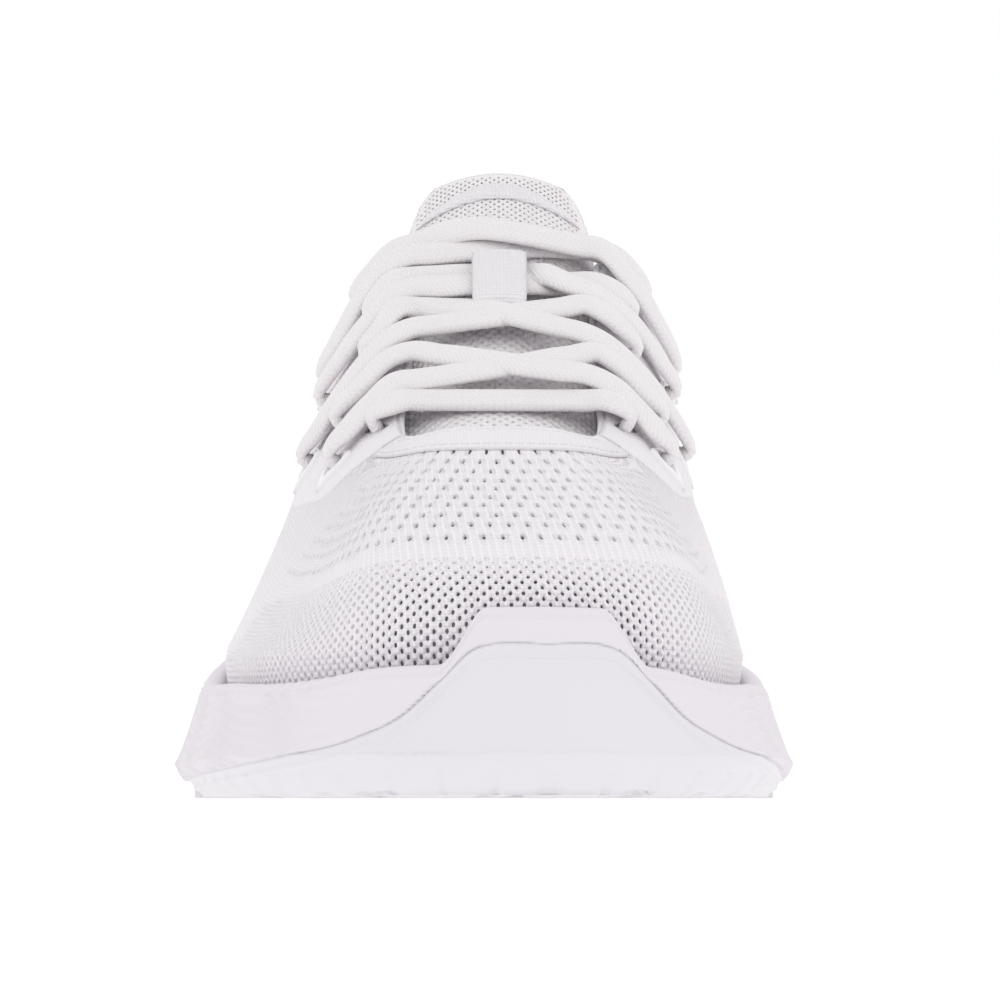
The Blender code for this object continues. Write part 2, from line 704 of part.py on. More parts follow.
def over_the_shoe(tree, start, over, end):
    """A strand pulled taut over the shoe: the upper hull of its route's profile."""
    first, last = at_hole(start, 2.6), at_hole(end, 2.6)
    route = [(first[0] - AXIS_X, first[1], 0.0), *over, (last[0] - AXIS_X, last[1], 0.0)]
    steps = np.linalg.norm(np.diff(np.array(route)[:, :2], axis=0), axis=1)
    keys = np.concatenate([[0], np.cumsum(steps)])
    along = np.linspace(3.0, keys[-1] - 3.0, 26)
    points = []
    for aside, t, lift in smooth_curve(keys, route, along):
        above = Vector(to_world((AXIS_X + aside, t, 150))[0])
        place, normal, _, _ = tree.ray_cast(above, Vector((0, 0, -1)))
        if place:
            rise = (LACE_RADIUS + GAP + 0.25 + lift) / max(normal.z, 0.35)
            height = place.z / MM + rise
        else:
            height = 0.0
        points.append((AXIS_X + aside, t, height))
    points = np.array(points)
    hull = [0]
    for i in range(1, len(points)):
        while len(hull) > 1:
            (s0, z0), (s1, z1) = ((along[k], points[k, 2]) for k in hull[-2:])
            if (z1 - z0) * (along[i] - s0) > (points[i, 2] - z0) * (s1 - s0):
                break
            hull.pop()
        hull.append(i)
    points[:, 2] = np.interp(along, along[hull], points[hull, 2])
    return points[::2]


def lace_knots():
    """Points that the lace runs through, from one tail to the other."""
    tree = surface_tree(("tongue_face", "upper_knit", "eyestay_medial", "eyestay_lateral"))
    knots = list(tail(-1))[::-1]
    for number, (start, end, over) in enumerate(STRANDS):
        knots += [at_hole(start, proud) for proud in (-3.6, -1.0, 1.2, 2.8)]
        knots += list(over_the_shoe(tree, start, over, end))
        knots += [at_hole(end, proud) for proud in (2.8, 1.2, -1.0, -3.6)]
        if number < len(STRANDS) - 1:
            here, there = np.array(hole_place(end)), np.array(hole_place(STRANDS[number + 1][0]))
            knots.append(upper(*((here + there) / 2), -3.5))
    return knots + list(tail(1))


def tail(side):
    """A loose end, tucked down inside the quarter and forward along the insole."""
    route = [(0.612, 0.76, -5), (0.60, 0.66, -7), (0.58, 0.54, -8), (0.54, 0.44, -8.5),
             (0.49, 0.37, -8.5), (0.43, 0.34, -8.5), (0.37, 0.33, -8.5), (0.31, 0.33, -8.5)]
    return [upper(side * place, row, proud) for place, row, proud in route]


def through(knots, spacing):
    """Points along the smooth curve through the knots."""
    knots = np.array(knots)
    keys = np.concatenate([[0], np.cumsum(np.sqrt(np.linalg.norm(np.diff(knots, axis=0), axis=1)))])
    fine = smooth_curve(keys, knots, np.linspace(0, keys[-1], 6000))
    arc = np.concatenate([[0], np.cumsum(np.linalg.norm(np.diff(fine, axis=0), axis=1))])
    at = np.linspace(0, arc[-1], int(arc[-1] / spacing) + 1)
    return np.stack([np.interp(at, arc, fine[:, k]) for k in range(3)], axis=1)


def tube(name, points, radius, kind):
    curve = bpy.data.curves.new(name, "CURVE")
    curve.dimensions = "3D"
    curve.bevel_depth = radius * MM
    curve.bevel_resolution = 1
    curve.use_fill_caps = True
    line = curve.splines.new("POLY")
    line.points.add(len(points) - 1)
    for point, place in zip(line.points, to_world(points)):
        point.co = (*place, 1)
    obj = bpy.data.objects.new(name, curve)
    curve.materials.append(material(kind))
    SHOE.objects.link(obj)


def make_lace():
    line = through(lace_knots(), 4.0)
    tube("lace", line, LACE_RADIUS, "lace")
    for name, end, inner in (("aglet_left", line[0], line[2]), ("aglet_right", line[-1], line[-3])):
        out = (end - inner) / np.linalg.norm(end - inner)
        tube(name, [end + out * GAP, end + out * AGLET_LENGTH], AGLET_RADIUS, "aglet")


# ---------------------------------------------------------------- moving bodies


def carry(name, axis, pieces):
    """Puts an empty on a joint's axis and hangs the pieces that turn about it from it."""
    empty = bpy.data.objects.new(name, None)
    empty.location = to_world((MIDDLE[0], *axis))[0]
    SHOE.objects.link(empty)
    for piece in pieces:
        child = bpy.data.objects[piece]
        child.parent = empty
        child.matrix_parent_inverse = Matrix.Translation(-empty.location)


# ---------------------------------------------------------------- assembly

clear_scene()
SHOE = new_collection("running_shoe")
CUTTERS = new_collection("cutters")
make_midsole()
make_outsole_toe()
make_outsole_pads()
flat_layer("strobel_board", 11.6, GAP, GAP + BOARD, "board")
flat_layer("insole", 13.0, BOARD + 2 * GAP, BOARD + 2 * GAP + SOCKLINER, "padding")
make_upper()
make_upper_layers()
make_tongue()
make_keeper()
cut_lace_holes()
make_lace()
carry("forefoot_axis", FLEX_AXIS, ("outsole_toe", "toe_puff"))
TONGUE_PIECES = ("tongue_face", "tongue_foam", "tongue_lining", "tongue_label", "lace_keeper")
carry("tongue_axis", TONGUE_AXIS, TONGUE_PIECES)
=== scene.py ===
import bmesh
import bpy
import numpy as np
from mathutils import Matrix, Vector
from mathutils.bvhtree import BVHTree
from mathutils.geometry import delaunay_2d_cdt


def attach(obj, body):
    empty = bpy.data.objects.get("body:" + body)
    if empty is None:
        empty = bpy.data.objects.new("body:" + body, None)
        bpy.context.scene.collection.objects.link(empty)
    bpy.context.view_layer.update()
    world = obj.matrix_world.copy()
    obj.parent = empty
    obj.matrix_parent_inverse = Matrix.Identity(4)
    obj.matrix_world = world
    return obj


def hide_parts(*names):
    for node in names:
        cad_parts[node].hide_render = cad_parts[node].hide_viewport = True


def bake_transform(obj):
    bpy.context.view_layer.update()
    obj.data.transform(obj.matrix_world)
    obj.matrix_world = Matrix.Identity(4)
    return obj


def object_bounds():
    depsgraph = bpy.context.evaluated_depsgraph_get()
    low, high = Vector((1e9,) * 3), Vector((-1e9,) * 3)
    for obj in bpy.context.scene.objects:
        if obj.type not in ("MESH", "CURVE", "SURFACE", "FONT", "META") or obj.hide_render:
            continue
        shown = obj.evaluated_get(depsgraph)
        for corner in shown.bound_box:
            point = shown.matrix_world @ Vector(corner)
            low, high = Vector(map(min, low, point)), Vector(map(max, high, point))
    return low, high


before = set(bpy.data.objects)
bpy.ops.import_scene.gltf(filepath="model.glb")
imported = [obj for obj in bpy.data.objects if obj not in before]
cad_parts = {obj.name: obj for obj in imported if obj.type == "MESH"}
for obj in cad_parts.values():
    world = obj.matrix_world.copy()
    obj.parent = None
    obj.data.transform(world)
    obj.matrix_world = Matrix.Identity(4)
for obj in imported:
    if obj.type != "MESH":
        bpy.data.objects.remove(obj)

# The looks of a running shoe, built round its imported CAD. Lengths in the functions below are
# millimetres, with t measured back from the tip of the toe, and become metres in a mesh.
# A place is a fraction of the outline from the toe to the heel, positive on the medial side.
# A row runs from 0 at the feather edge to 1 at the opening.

CAD_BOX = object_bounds()
MM = 0.001

# Dimensions of the CAD that the looks are built on
LENGTH = 292.0
TOE_SPRING = 15.5
SPRING_LENGTH = 108.0
HEEL_BEVEL = 9.0
HEEL_BEVEL_START = 256.0
RUBBER = 2.6
GAP = 0.4
FLARE_HEIGHT = 6.0
BOTTOM_INSET = 4.0
RIM_INSET = 4.7
RIM_WIDTH = 3.1
RIM_CURVE = 0.8
LATERAL_DRAW = 6.0
LATERAL_CLIMB = 0.84
LIP_RISE = 8.0
AXIS_X = 3.0
PAD_INSET = 3.0
TOE_PAD_END = 76.0
FOREFOOT_PAD = (79.0, 130.0)
HEEL_PAD = (216.0, 285.0)
KEEPER_WIDTH = 9.6
KEEPER_RISE = 5.5
WIDEST_ROW = 0.2

# Sizes that only the looks have. Holes are given as half their size across and along.
LACE_WIDTH = 7.0
LACE_THICKNESS = 2.4
MESH_PITCH = (1.93, 0.92)
MESH_HOLE = (0.31, 0.44)
SLIT_PITCH = 2.9
SLOT_HALVES = (2.9, 1.6)
TOE_RUBBER_WALL = 2.0
TONGUE_LENGTH = 122.0

# The sidewall's fine lines, the cord along its rim, and the outsole's grooves
LINE_DEPTH = 0.46
LINE_PITCH = 1.7
ROPE_DEPTH = 0.38
ROPE_PITCH = 3.4
RIM_ROUND = 1.5
GROOVE_DEPTH = 0.9
GROOVE_HALF = 0.9
CHEVRON_PITCH = 11.0
SPLIT_PITCH = 17.0

# Half the upper's way round and its height, which turn (place, row) into flat millimetres
ROUND = 330.0
CLIMB = 110.0

# Where the sole and upper bend when the forefoot flexes, as t
BEND = (104.0, 60.0)

# The camera: metres ahead of the toe and above the floor, fall of the view per metre, lens in mm
CAMERA_AHEAD = 0.400
CAMERA_HEIGHT = 0.075
CAMERA_FALL = 0.126 / 2.843
CAMERA_LENS = 102.3

# Plan outline of the sole's flare as (x, t), from the toe down the medial side and back
FLARE = [
    (10, 0), (31, 7), (43.5, 27), (49.3, 56), (53, 90), (53, 110), (49, 132), (45.5, 158),
    (44, 190), (44.5, 220), (43, 252), (36, 276), (22, 289), (5, 292), (-14, 288), (-29, 274),
    (-37, 250), (-40, 215), (-44, 180), (-49, 148), (-53, 121), (-53.6, 99), (-49.8, 66),
    (-39.8, 32), (-23, 9.5), (-6, 1.6),
]

# Lines of the upper: arc fraction from toe to heel, then the point where the line meets
# the opening (distance from the axis, t, z), how far the line first climbs and leans
# out, and the handle with which it arrives (outward, t, z)
UPPER_LINES = [
    (0.000, 0.0, 98, 65.5, 20, -1.0, 0.0, -62, -10.5),
    (0.100, 8.0, 98, 65.2, 19, -1.0, 12.0, -47, -9.5),
    (0.200, 15.5, 100, 63.6, 10, -4.0, 12.0, -22, -5.5),
    (0.325, 18.5, 110, 66.5, 13, -4.0, 12.0, -6, -6.0),
    (0.443, 18.0, 135, 77.5, 21, 0.0, 13.5, -2, -8.0),
    (0.562, 19.0, 160, 89.0, 30, 6.0, 14.0, 0, -9.0),
    (0.640, 21.5, 179, 97.0, 36, 6.0, 12.5, 2, -12.0),
    (0.695, 30.0, 196, 89.0, 24, 4.0, 4.0, 0, -13.0),
    (0.760, 32.5, 222, 77.5, 15, 2.5, 2.0, 0, -9.0),
    (0.826, 29.5, 246, 79.0, 15, 2.0, 2.0, 0, -9.0),
    (0.880, 23.5, 263, 88.0, 18, 2.0, 1.5, 2, -12.0),
    (0.942, 12.5, 276, 98.0, 22, 2.0, 1.0, 3, -14.0),
    (1.000, 0.0, 280, 102.5, 24, 2.5, 0.0, 4, -15.0),
]

# The tongue's ridge, from under the vamp to its top edge: (t, z)
TONGUE_RIDGE = [
    (88, 56.0), (98, 60.2), (112, 67.3), (130, 76), (150, 85.5), (168, 96.5),
    (183, 107.8), (192, 117.6),
]

# Lace holes on each side, as (place, row) on the upper, from the throat upwards
INNER_HOLES = [(0.337, 0.92), (0.422, 0.77), (0.499, 0.87), (0.569, 0.89), (0.622, 0.84)]
OUTER_HOLES = [(0.355, 0.75), (0.452, 0.62), (0.529, 0.68), (0.579, 0.67)]

# The lace's strands in the order in which it runs, from tail to tail: the hole it comes
# up through, the hole it goes down through, each as (row of holes, number, side), and its
# route over the tongue as (distance from the axis, t, extra lift).
STRANDS = [
    (
        ("inner", 4, -1), ("outer", 3, 1),
        [(-14, 177, 0.8), (-5, 172, 2.9), (5, 170, 2.9), (16, 172.5, 1.4), (26, 170, 0.4)],
    ),
    (
        ("inner", 3, 1), ("outer", 2, -1),
        [(14, 163, 0.3), (4, 156, 0.2), (-5, 155, 0.2), (-15, 159, 0.3)],
    ),
    (
        ("inner", 2, -1), ("outer", 1, 1),
        [(-15, 153, 0.4), (-8, 148.5, 0.9), (-2, 143.5, 2.9), (6, 139.5, 2.9), (15, 137.5, 0.8),
         (26, 133, 0.6)],
    ),
    (
        ("inner", 1, 1), ("outer", 0, -1),
        [(17, 130, 0.6), (6, 123.5, 0.2), (-5, 120.5, 0.2), (-18, 118.5, 0.6)],
    ),
    (
        ("inner", 0, -1), ("inner", 0, 1),
        [(-14, 114.5, 0.4), (-4, 113.5, 0.2), (6, 113, 0.2), (14, 113, 0.4)],
    ),
    (
        ("outer", 0, 1), ("inner", 1, -1),
        [(18, 118, 1.2), (9, 118.5, 2.9), (1, 122, 2.9), (-6, 126.5, 0.9), (-17, 132, 0.6)],
    ),
    (
        ("outer", 1, -1), ("inner", 2, 1),
        [(-26, 137, 0.4), (-14, 143, 0.4), (-3, 141, 0.2), (10, 147.5, 0.0), (17, 149, 0.4)],
    ),
    (
        ("outer", 2, 1), ("inner", 3, -1),
        [(15, 156, 1.4), (9, 158, 3.2), (3.5, 161, 0.4), (-5, 162, 0.2), (-14, 166, 0.3)],
    ),
    (
        ("outer", 3, -1), ("inner", 4, 1),
        [(-26, 169.5, 0.4), (-14, 171.5, 0.4), (-3, 170, 0.0), (8, 173.5, 0.0), (18, 177.5, 0.4)],
    ),
]

# ---------------------------------------------------------------- curves and heights


def smoothstep(low, high, value):
    u = np.clip((np.asarray(value, float) - low) / (high - low), 0, 1)
    return u * u * (3 - 2 * u)


def running_distance(points):
    """Distance along a line of points, from 0 at the first."""
    return np.concatenate([[0], np.cumsum(np.linalg.norm(np.diff(points, axis=0), axis=1))])


def unit(vectors):
    return vectors / np.linalg.norm(vectors, axis=-1, keepdims=True)


def square_to(vectors, axes):
    """Unit vectors of what is left of each vector square to its axis."""
    return unit(vectors - axes * (vectors * axes).sum(1, keepdims=True))


def whole_turn(count):
    return np.arange(count) / count * 2 * np.pi


def squarer(value, power):
    """A sine or cosine with its size raised to a power, which squares off the circle it draws."""
    return np.sign(value) * np.abs(value) ** power


def paired(one, two):
    return np.broadcast_arrays(np.asarray(one, float), np.asarray(two, float))


def rounded_edge(*steps):
    """0 at a patch's edge and 1 inside it, from the distance to each edge in its own steps."""
    return np.clip(np.minimum.reduce(steps), 0, 1) ** 0.5


def smooth_curve(keys, values, at, period=None):
    """Values read from the smooth curve through keyed rows of values."""
    keys = np.asarray(keys, float)
    values = np.asarray(values, float).reshape(len(keys), -1)
    if period:
        keys = np.concatenate([[keys[-1] - period], keys, [keys[0] + period]])
        values = np.concatenate([values[-1:], values, values[:1]])
    slopes = np.gradient(values, keys, axis=0)
    at = np.clip(np.asarray(at, float), keys[0], keys[-1])
    i = np.clip(np.searchsorted(keys, at, side="right") - 1, 0, len(keys) - 2)
    span = (keys[i + 1] - keys[i])[..., None]
    u = (at - keys[i])[..., None] / span
    return (
        (2 * u**3 - 3 * u**2 + 1) * values[i]
        + (u**3 - 2 * u**2 + u) * span * slopes[i]
        + (3 * u**2 - 2 * u**3) * values[i + 1]
        + (u**3 - u**2) * span * slopes[i + 1]
    )


def trace_outline():
    """The flare as a loop: distance from the toe, negative on the lateral side, and points."""
    count = len(FLARE)
    loop = smooth_curve(range(count), FLARE, np.linspace(0, count, 4001)[:-1], count)
    middle = (loop.min(axis=0) + loop.max(axis=0)) / 2
    loop = np.roll(loop, -int(loop[:, 1].argmin()), axis=0)
    loop = np.vstack([loop, loop[:1]])
    distance = running_distance(loop)
    medial = distance[int(loop[:, 1].argmax())]
    lengths = {1: medial, -1: distance[-1] - medial}
    return distance, loop, lengths, middle


DISTANCE, LOOP, LENGTHS, MIDDLE = trace_outline()


def outline_point(distance):
    distance = np.asarray(distance) % DISTANCE[-1]
    return np.stack([np.interp(distance, DISTANCE, LOOP[:, k]) for k in (0, 1)], axis=-1)


def plan(place, inset=0.0):
    """Outline point moved inwards. Place is 0 at the toe and 1 (medial) or -1 at the heel."""
    place, inset = paired(place, inset)
    distance = place * np.where(place >= 0, LENGTHS[1], LENGTHS[-1])
    along = unit(outline_point(distance + 4.0) - outline_point(distance - 4.0))
    inward = np.stack([-along[..., 1], along[..., 0]], axis=-1)
    return outline_point(distance) + inward * inset[..., None]


def edge_x(t, side, inset):
    """Where the inset outline of one side is at t."""
    places = side * np.linspace(1e-6, 1, 400)
    edge = plan(places, inset)
    return np.interp(t, edge[:, 1], edge[:, 0])


def arc_from_toe(place):
    return np.abs(place) * np.where(np.asarray(place) >= 0, LENGTHS[1], LENGTHS[-1])


def arc_along(place):
    """Distance round the outline from the toe, negative on the lateral side."""
    return np.sign(place) * arc_from_toe(place)


def toe_share(place):
    """1 round the toe, falling to 0 along the sides."""
    return 1 - smoothstep(12, 40, arc_from_toe(place))


def ground(t):
    """Height of the sole's underside: toe spring, flat, then the heel's bevel."""
    u = np.clip((SPRING_LENGTH - np.asarray(t, float)) / SPRING_LENGTH, 0, 1)
    soft = 0.15
    ramp = np.where(u < soft, u**2 / (2 * soft), u - soft / 2) / (1 - soft / 2)
    bevel = np.clip((t - HEEL_BEVEL_START) / (LENGTH - HEEL_BEVEL_START), 0, 1)
    return TOE_SPRING * ramp + HEEL_BEVEL * bevel**1.7


def rim_height(t):
    keys = (0, 5, 14, 45, 97, 130, 180, 230, 262, 292)
    heights = (33.5, 32.5, 30, 26, 21.5, 23, 30, 36.5, 41, 44)
    return smooth_curve(keys, heights, t)[..., 0]


def footbed_height(t):
    keys = (0, 20, 50, 100, 150, 200, 250, 292)
    heights = (26, 23, 18.5, 15, 18, 23, 26, 27)
    return smooth_curve(keys, heights, t)[..., 0]


def bed_height(place):
    """Height of the footbed's edge beside a place of the outline."""
    return footbed_height(plan(place, 9.0)[..., 1])


def lip(place):
    """1 on the raised toe lip and 0 away from it."""
    return 1 - smoothstep(10, 18, arc_from_toe(place))


def wrap_top(place):
    """Upper edge of the rubber that wraps the toe."""
    keys = (0, 9, 12, 17, 22, 29, 45, 62, 90, 120)
    above = (21, 21, 20.2, 16, 11.5, 8.5, 6, 4.6, 3.6, 3.2)
    t = plan(place)[..., 1]
    return ground(t) + smooth_curve(keys, above, arc_from_toe(place))[..., 0]


def wall_inset(place, z):
    """How far the sidewall is inside the flare at a height."""
    t = plan(place)[..., 1]
    flare = ground(t) + FLARE_HEIGHT
    top = rim_height(t) + LIP_RISE * lip(place)
    above = np.clip((z - flare) / (top - flare), 0, 1)
    below = np.clip((flare - z) / FLARE_HEIGHT, 0, 1)
    return (RIM_INSET + 2.5 * lip(place)) * above**RIM_CURVE + BOTTOM_INSET * below**1.5


def raised(plan_points, z):
    """Plan points with their heights."""
    return np.concatenate([plan_points, np.asarray(z, float)[..., None]], axis=-1)


# ---------------------------------------------------------------- the upper's and tongue's surfaces


def moved_out(surface, u, v, proud, small, reach):
    """A surface's point moved out along its normal. u runs to reach either way, v from 0 to 1."""
    ahead, behind = (np.clip(u + step, -reach, reach) for step in (small, -small))
    above, below = (np.clip(v + step, 0, 1) for step in (small, -small))
    normal = unit(np.cross(surface(ahead, v) - surface(behind, v), surface(u, above) - surface(u, below)))
    return surface(u, v) + normal * np.asarray(proud)[..., None]


def upper_outer(place, row):
    """Outer face of the upper. Row is 0 at the feather edge and 1 at the opening."""
    place, row = paired(place, row)
    place = (place + 1) % 2 - 1
    lines = np.array(UPPER_LINES)
    values = smooth_curve(lines[:, 0], lines[:, 1:], np.abs(place))
    half, t, z, climb, lean, out, back, down = np.moveaxis(values, -1, 0)
    side = np.where(place >= 0, 1.0, -1.0)
    toe = toe_share(place)
    wide_plan = plan(place, 8.1 + 2.6 * toe)
    low = raised(plan(place, 9.4 + 1.4 * toe), bed_height(place) + GAP)
    wide = raised(wide_plan, rim_height(wide_plan[..., 1]) + 5)
    outward = (plan(place) - plan(place, 10)) / 10
    drawn = smoothstep(0.05, 0.2, -place) * smoothstep(-0.7, -0.56, place)
    drawn = np.where(place < 0, drawn, 0)
    lean = lean - LATERAL_DRAW * drawn
    climb = climb * (1 - (1 - LATERAL_CLIMB) * drawn)
    first = wide + raised(outward * lean[..., None], climb)
    top = np.stack([AXIS_X + side * half, t, z], axis=-1)
    second = top + np.stack([side * out, back, down], axis=-1)
    u = np.clip(row / WIDEST_ROW, 0, 1)[..., None]
    v = np.clip((row - WIDEST_ROW) / (1 - WIDEST_ROW), 0, 1)[..., None]
    arch = (
        (1 - v) ** 3 * wide
        + 3 * (1 - v) ** 2 * v * first
        + 3 * (1 - v) * v**2 * second
        + v**3 * top
    )
    return np.where(row[..., None] < WIDEST_ROW, low + (wide - low) * u, arch)


def upper(place, row, proud=0.0):
    """A point of the upper, moved out along its normal by proud."""
    return moved_out(upper_outer, *paired(place, row), proud, 0.004, np.inf)


def tongue_outer(across, along):
    """Face of the tongue: across from -1 to 1, along from 0 under the vamp to 1."""
    across, along = paired(across, along)
    keys = np.linspace(0, 1, len(TONGUE_RIDGE))
    ridge = smooth_curve(keys, TONGUE_RIDGE, along)
    ahead = smooth_curve(keys, TONGUE_RIDGE, along + 0.02)
    behind = smooth_curve(keys, TONGUE_RIDGE, along - 0.02)
    slope = unit(ahead - behind)
    half = 17 + 3.3 * smoothstep(0, 0.4, along)
    half = half * np.sqrt(1 - 0.72 * np.clip((along - 0.70) / 0.30, 0, 1) ** 3)
    aside = across * half
    drop = 0.0157 * aside**2 + 0.25 * np.maximum(np.abs(aside) - 17, 0)
    t = ridge[..., 0] + slope[..., 1] * drop
    z = ridge[..., 1] - slope[..., 0] * drop
    return np.stack([AXIS_X - 0.5 * along + aside, t, z], -1)


def tongue(across, along, proud=0.0):
    """A point of the tongue, moved out along the normal of its face."""
    return moved_out(tongue_outer, *paired(across, along), proud, 0.01, 1.0)


# ---------------------------------------------------------------- materials


def principled(name, colour, roughness, **extra):
    """A material, its node tree and its shader, with constants on the shader's own sockets."""
    made = bpy.data.materials.new(name)
    made.use_nodes = True
    shader = made.node_tree.nodes["Principled BSDF"]
    shader.inputs["Base Color"].default_value = (*colour, 1)
    shader.inputs["Roughness"].default_value = roughness
    for key, value in extra.items():
        shader.inputs[key.replace("_", " ").title()].default_value = value
    return made, made.node_tree, shader


def add_node(tree, kind, **settings):
    node = tree.nodes.new("ShaderNode" + kind)
    for key, value in settings.items():
        setattr(node, key, value)
    return node


def coordinates(tree, attribute):
    """The mesh's own millimetre coordinates where it has them, or its place in the frame."""
    if attribute:
        return add_node(tree, "Attribute", attribute_name=attribute).outputs["Vector"]
    return add_node(tree, "TexCoord").outputs["Object"]


def bands(tree, vector, direction, pitch, distortion):
    """Soft stripes a pitch apart."""
    wave = add_node(tree, "TexWave", wave_type="BANDS", bands_direction=direction, wave_profile="SIN")
    wave.inputs["Scale"].default_value = np.pi / 10 / pitch
    wave.inputs["Distortion"].default_value = distortion
    tree.links.new(vector, wave.inputs["Vector"])
    return wave.outputs["Fac"]


def noise(tree, vector, scale, detail=2.0):
    found = add_node(tree, "TexNoise")
    found.inputs["Scale"].default_value = scale
    found.inputs["Detail"].default_value = detail
    tree.links.new(vector, found.inputs["Vector"])
    return found.outputs["Fac"]


def combine(tree, operation, one, two):
    """A Math node. Each input is a number or another node's output."""
    maths = add_node(tree, "Math", operation=operation)
    for socket, value in zip(maths.inputs, (one, two)):
        if isinstance(value, float):
            socket.default_value = value
        else:
            tree.links.new(value, socket)
    return maths.outputs["Value"]


def weighted(tree, one, share_one, two, share_two):
    """The sum of a share of each height."""
    first = combine(tree, "MULTIPLY", one, share_one)
    return combine(tree, "ADD", first, combine(tree, "MULTIPLY", two, share_two))


def tint(tree, shader, factor, colour, dark):
    """Colours the surface from a darker shade up to the colour, by a factor."""
    ramp = add_node(tree, "ValToRGB")
    ramp.color_ramp.elements[0].color = (*(c * dark for c in colour), 1)
    ramp.color_ramp.elements[1].color = (*colour, 1)
    tree.links.new(factor, ramp.inputs["Fac"])
    tree.links.new(ramp.outputs["Color"], shader.inputs["Base Color"])


def relief(tree, shader, height, distance):
    """Fine relief as a bump, with its depth in millimetres."""
    bump = add_node(tree, "Bump")
    bump.inputs["Distance"].default_value = distance * MM
    bump.inputs["Strength"].default_value = 1.0
    tree.links.new(height, bump.inputs["Height"])
    tree.links.new(bump.outputs["Normal"], shader.inputs["Normal"])


def knit_material(name, colour, wale, course, depth, dark=0.86, attribute="weave"):
    """Knit: wales crossed by courses of loops, with painted shade between the yarns."""
    made, tree, shader = principled(name, colour, 0.82, Sheen_weight=0.25, Sheen_roughness=0.5)
    vector = coordinates(tree, attribute)
    wales = bands(tree, vector, "X", wale, 0.6)
    courses = bands(tree, vector, "Y", course, 1.2)
    height = weighted(tree, wales, 0.65, courses, 0.35)
    fibre = noise(tree, vector, 0.9, 4.0)
    # Painted shade: the colour darkens where the yarns' relief is low, mixed with the fibre's random tone.
    tint(tree, shader, combine(tree, "MULTIPLY", height, combine(tree, "ADD", fibre, 0.45)), colour, dark)
    relief(tree, shader, combine(tree, "ADD", height, combine(tree, "MULTIPLY", fibre, 0.25)), depth)
    return made


def woven_material(name, colour, pitch, depth, dark):
    """Weave read from the piece's own coordinates: yarns along X, crossed finely along Y, with painted
    shade between the yarns.
    """
    made, tree, shader = principled(name, colour, 0.74, Sheen_weight=0.3, Sheen_roughness=0.45)
    vector = coordinates(tree, "weave")
    yarns = bands(tree, vector, "X", pitch, 0.5)
    crossing = bands(tree, vector, "Y", pitch * 0.75, 0.5)
    height = weighted(tree, yarns, 0.7, crossing, 0.3)
    fibre = combine(tree, "ADD", noise(tree, vector, 1.3), 0.5)
    # Painted shade: the colour darkens where the weave's relief is low, between the yarns, mixed with the
    # fibre's random tone.
    tint(tree, shader, combine(tree, "MULTIPLY", height, fibre), colour, dark)
    relief(tree, shader, height, depth)
    return made


def grained_material(name, colour, roughness, scale, depth, dark=0.95, **extra):
    """Moulded or sheet material with a fine grain and slow changes of tone."""
    made, tree, shader = principled(name, colour, roughness, **extra)
    vector = coordinates(tree, None)
    tint(tree, shader, noise(tree, vector, 38.0), colour, dark)
    relief(tree, shader, noise(tree, vector, scale, 3.0), depth)
    return made


def make_materials():
    """Every material, by the look that uses it: name, colour, then its maker's own settings."""
    makers = {
        # For the knits and weaves, the dark setting after the relief depth sets how far the painted shade
        # between the yarns goes.
        knit_material: {
            "knit": ("knit", (0.89, 0.855, 0.895), 1.25, 0.95, 0.22, 0.89),
            "mesh": ("tongue_mesh", (0.88, 0.85, 0.87), 1.1, 0.85, 0.16, 0.92),
            "lining": ("lining", (0.84, 0.81, 0.84), 0.9, 0.9, 0.12),
            "band": ("smooth_band", (0.84, 0.81, 0.845), 0.6, 0.6, 0.08, 0.93),
            "sockliner": ("sockliner_textile", (0.72, 0.71, 0.73), 0.7, 0.7, 0.08, 0.86, None),
        },
        woven_material: {
            "lace": ("lace_weave", (0.84, 0.81, 0.825), 1.05, 0.12, 0.92),
            "webbing": ("webbing_weave", (0.88, 0.855, 0.88), 0.8, 0.2, 0.92),
        },
        grained_material: {
            # The under layer's grey, darker than the knit, is partly its own tone and partly painted shade
            # in the mesh's holes and the vamp's slits.
            "under": ("under_mesh", (0.80, 0.77, 0.805), 0.9, 900.0, 0.05),
            "padding": ("padding_foam", (0.70, 0.69, 0.71), 0.95, 700.0, 0.2),
            "board": ("strobel_board", (0.62, 0.61, 0.60), 0.9, 600.0, 0.1),
            "stiffener": ("stiffener_sheet", (0.42, 0.41, 0.43), 0.6, 500.0, 0.05),
            "foam": ("midsole_foam", (0.77, 0.735, 0.775), 0.62, 420.0, 0.08, 0.96),
            "thread": ("thread", (0.84, 0.83, 0.85), 0.6, 1500.0, 0.05),
        },
    }
    found = {look: maker(*settings) for maker, looks in makers.items() for look, settings in looks.items()}
    rubber = ("outsole_rubber", (0.755, 0.735, 0.77), 0.45, 900.0, 0.02, 0.97)
    found["rubber"] = grained_material(*rubber, Coat_weight=0.1)
    overlay = ("glossy_overlay", (0.85, 0.83, 0.86), 0.2, 500.0, 0.02, 0.97)
    found["overlay"] = grained_material(*overlay, Coat_weight=0.6, Coat_roughness=0.08)
    found["aglet"] = principled("aglet_plastic", (0.80, 0.80, 0.82), 0.2, Coat_weight=0.5)[0]
    return found


# ---------------------------------------------------------------- meshes


def to_world(points):
    """Millimetres with t from the toe, to metres in the shoe's frame."""
    shift = np.array([MIDDLE[0], MIDDLE[1], 0.0])
    return (np.asarray(points, float).reshape(-1, 3) - shift) * MM


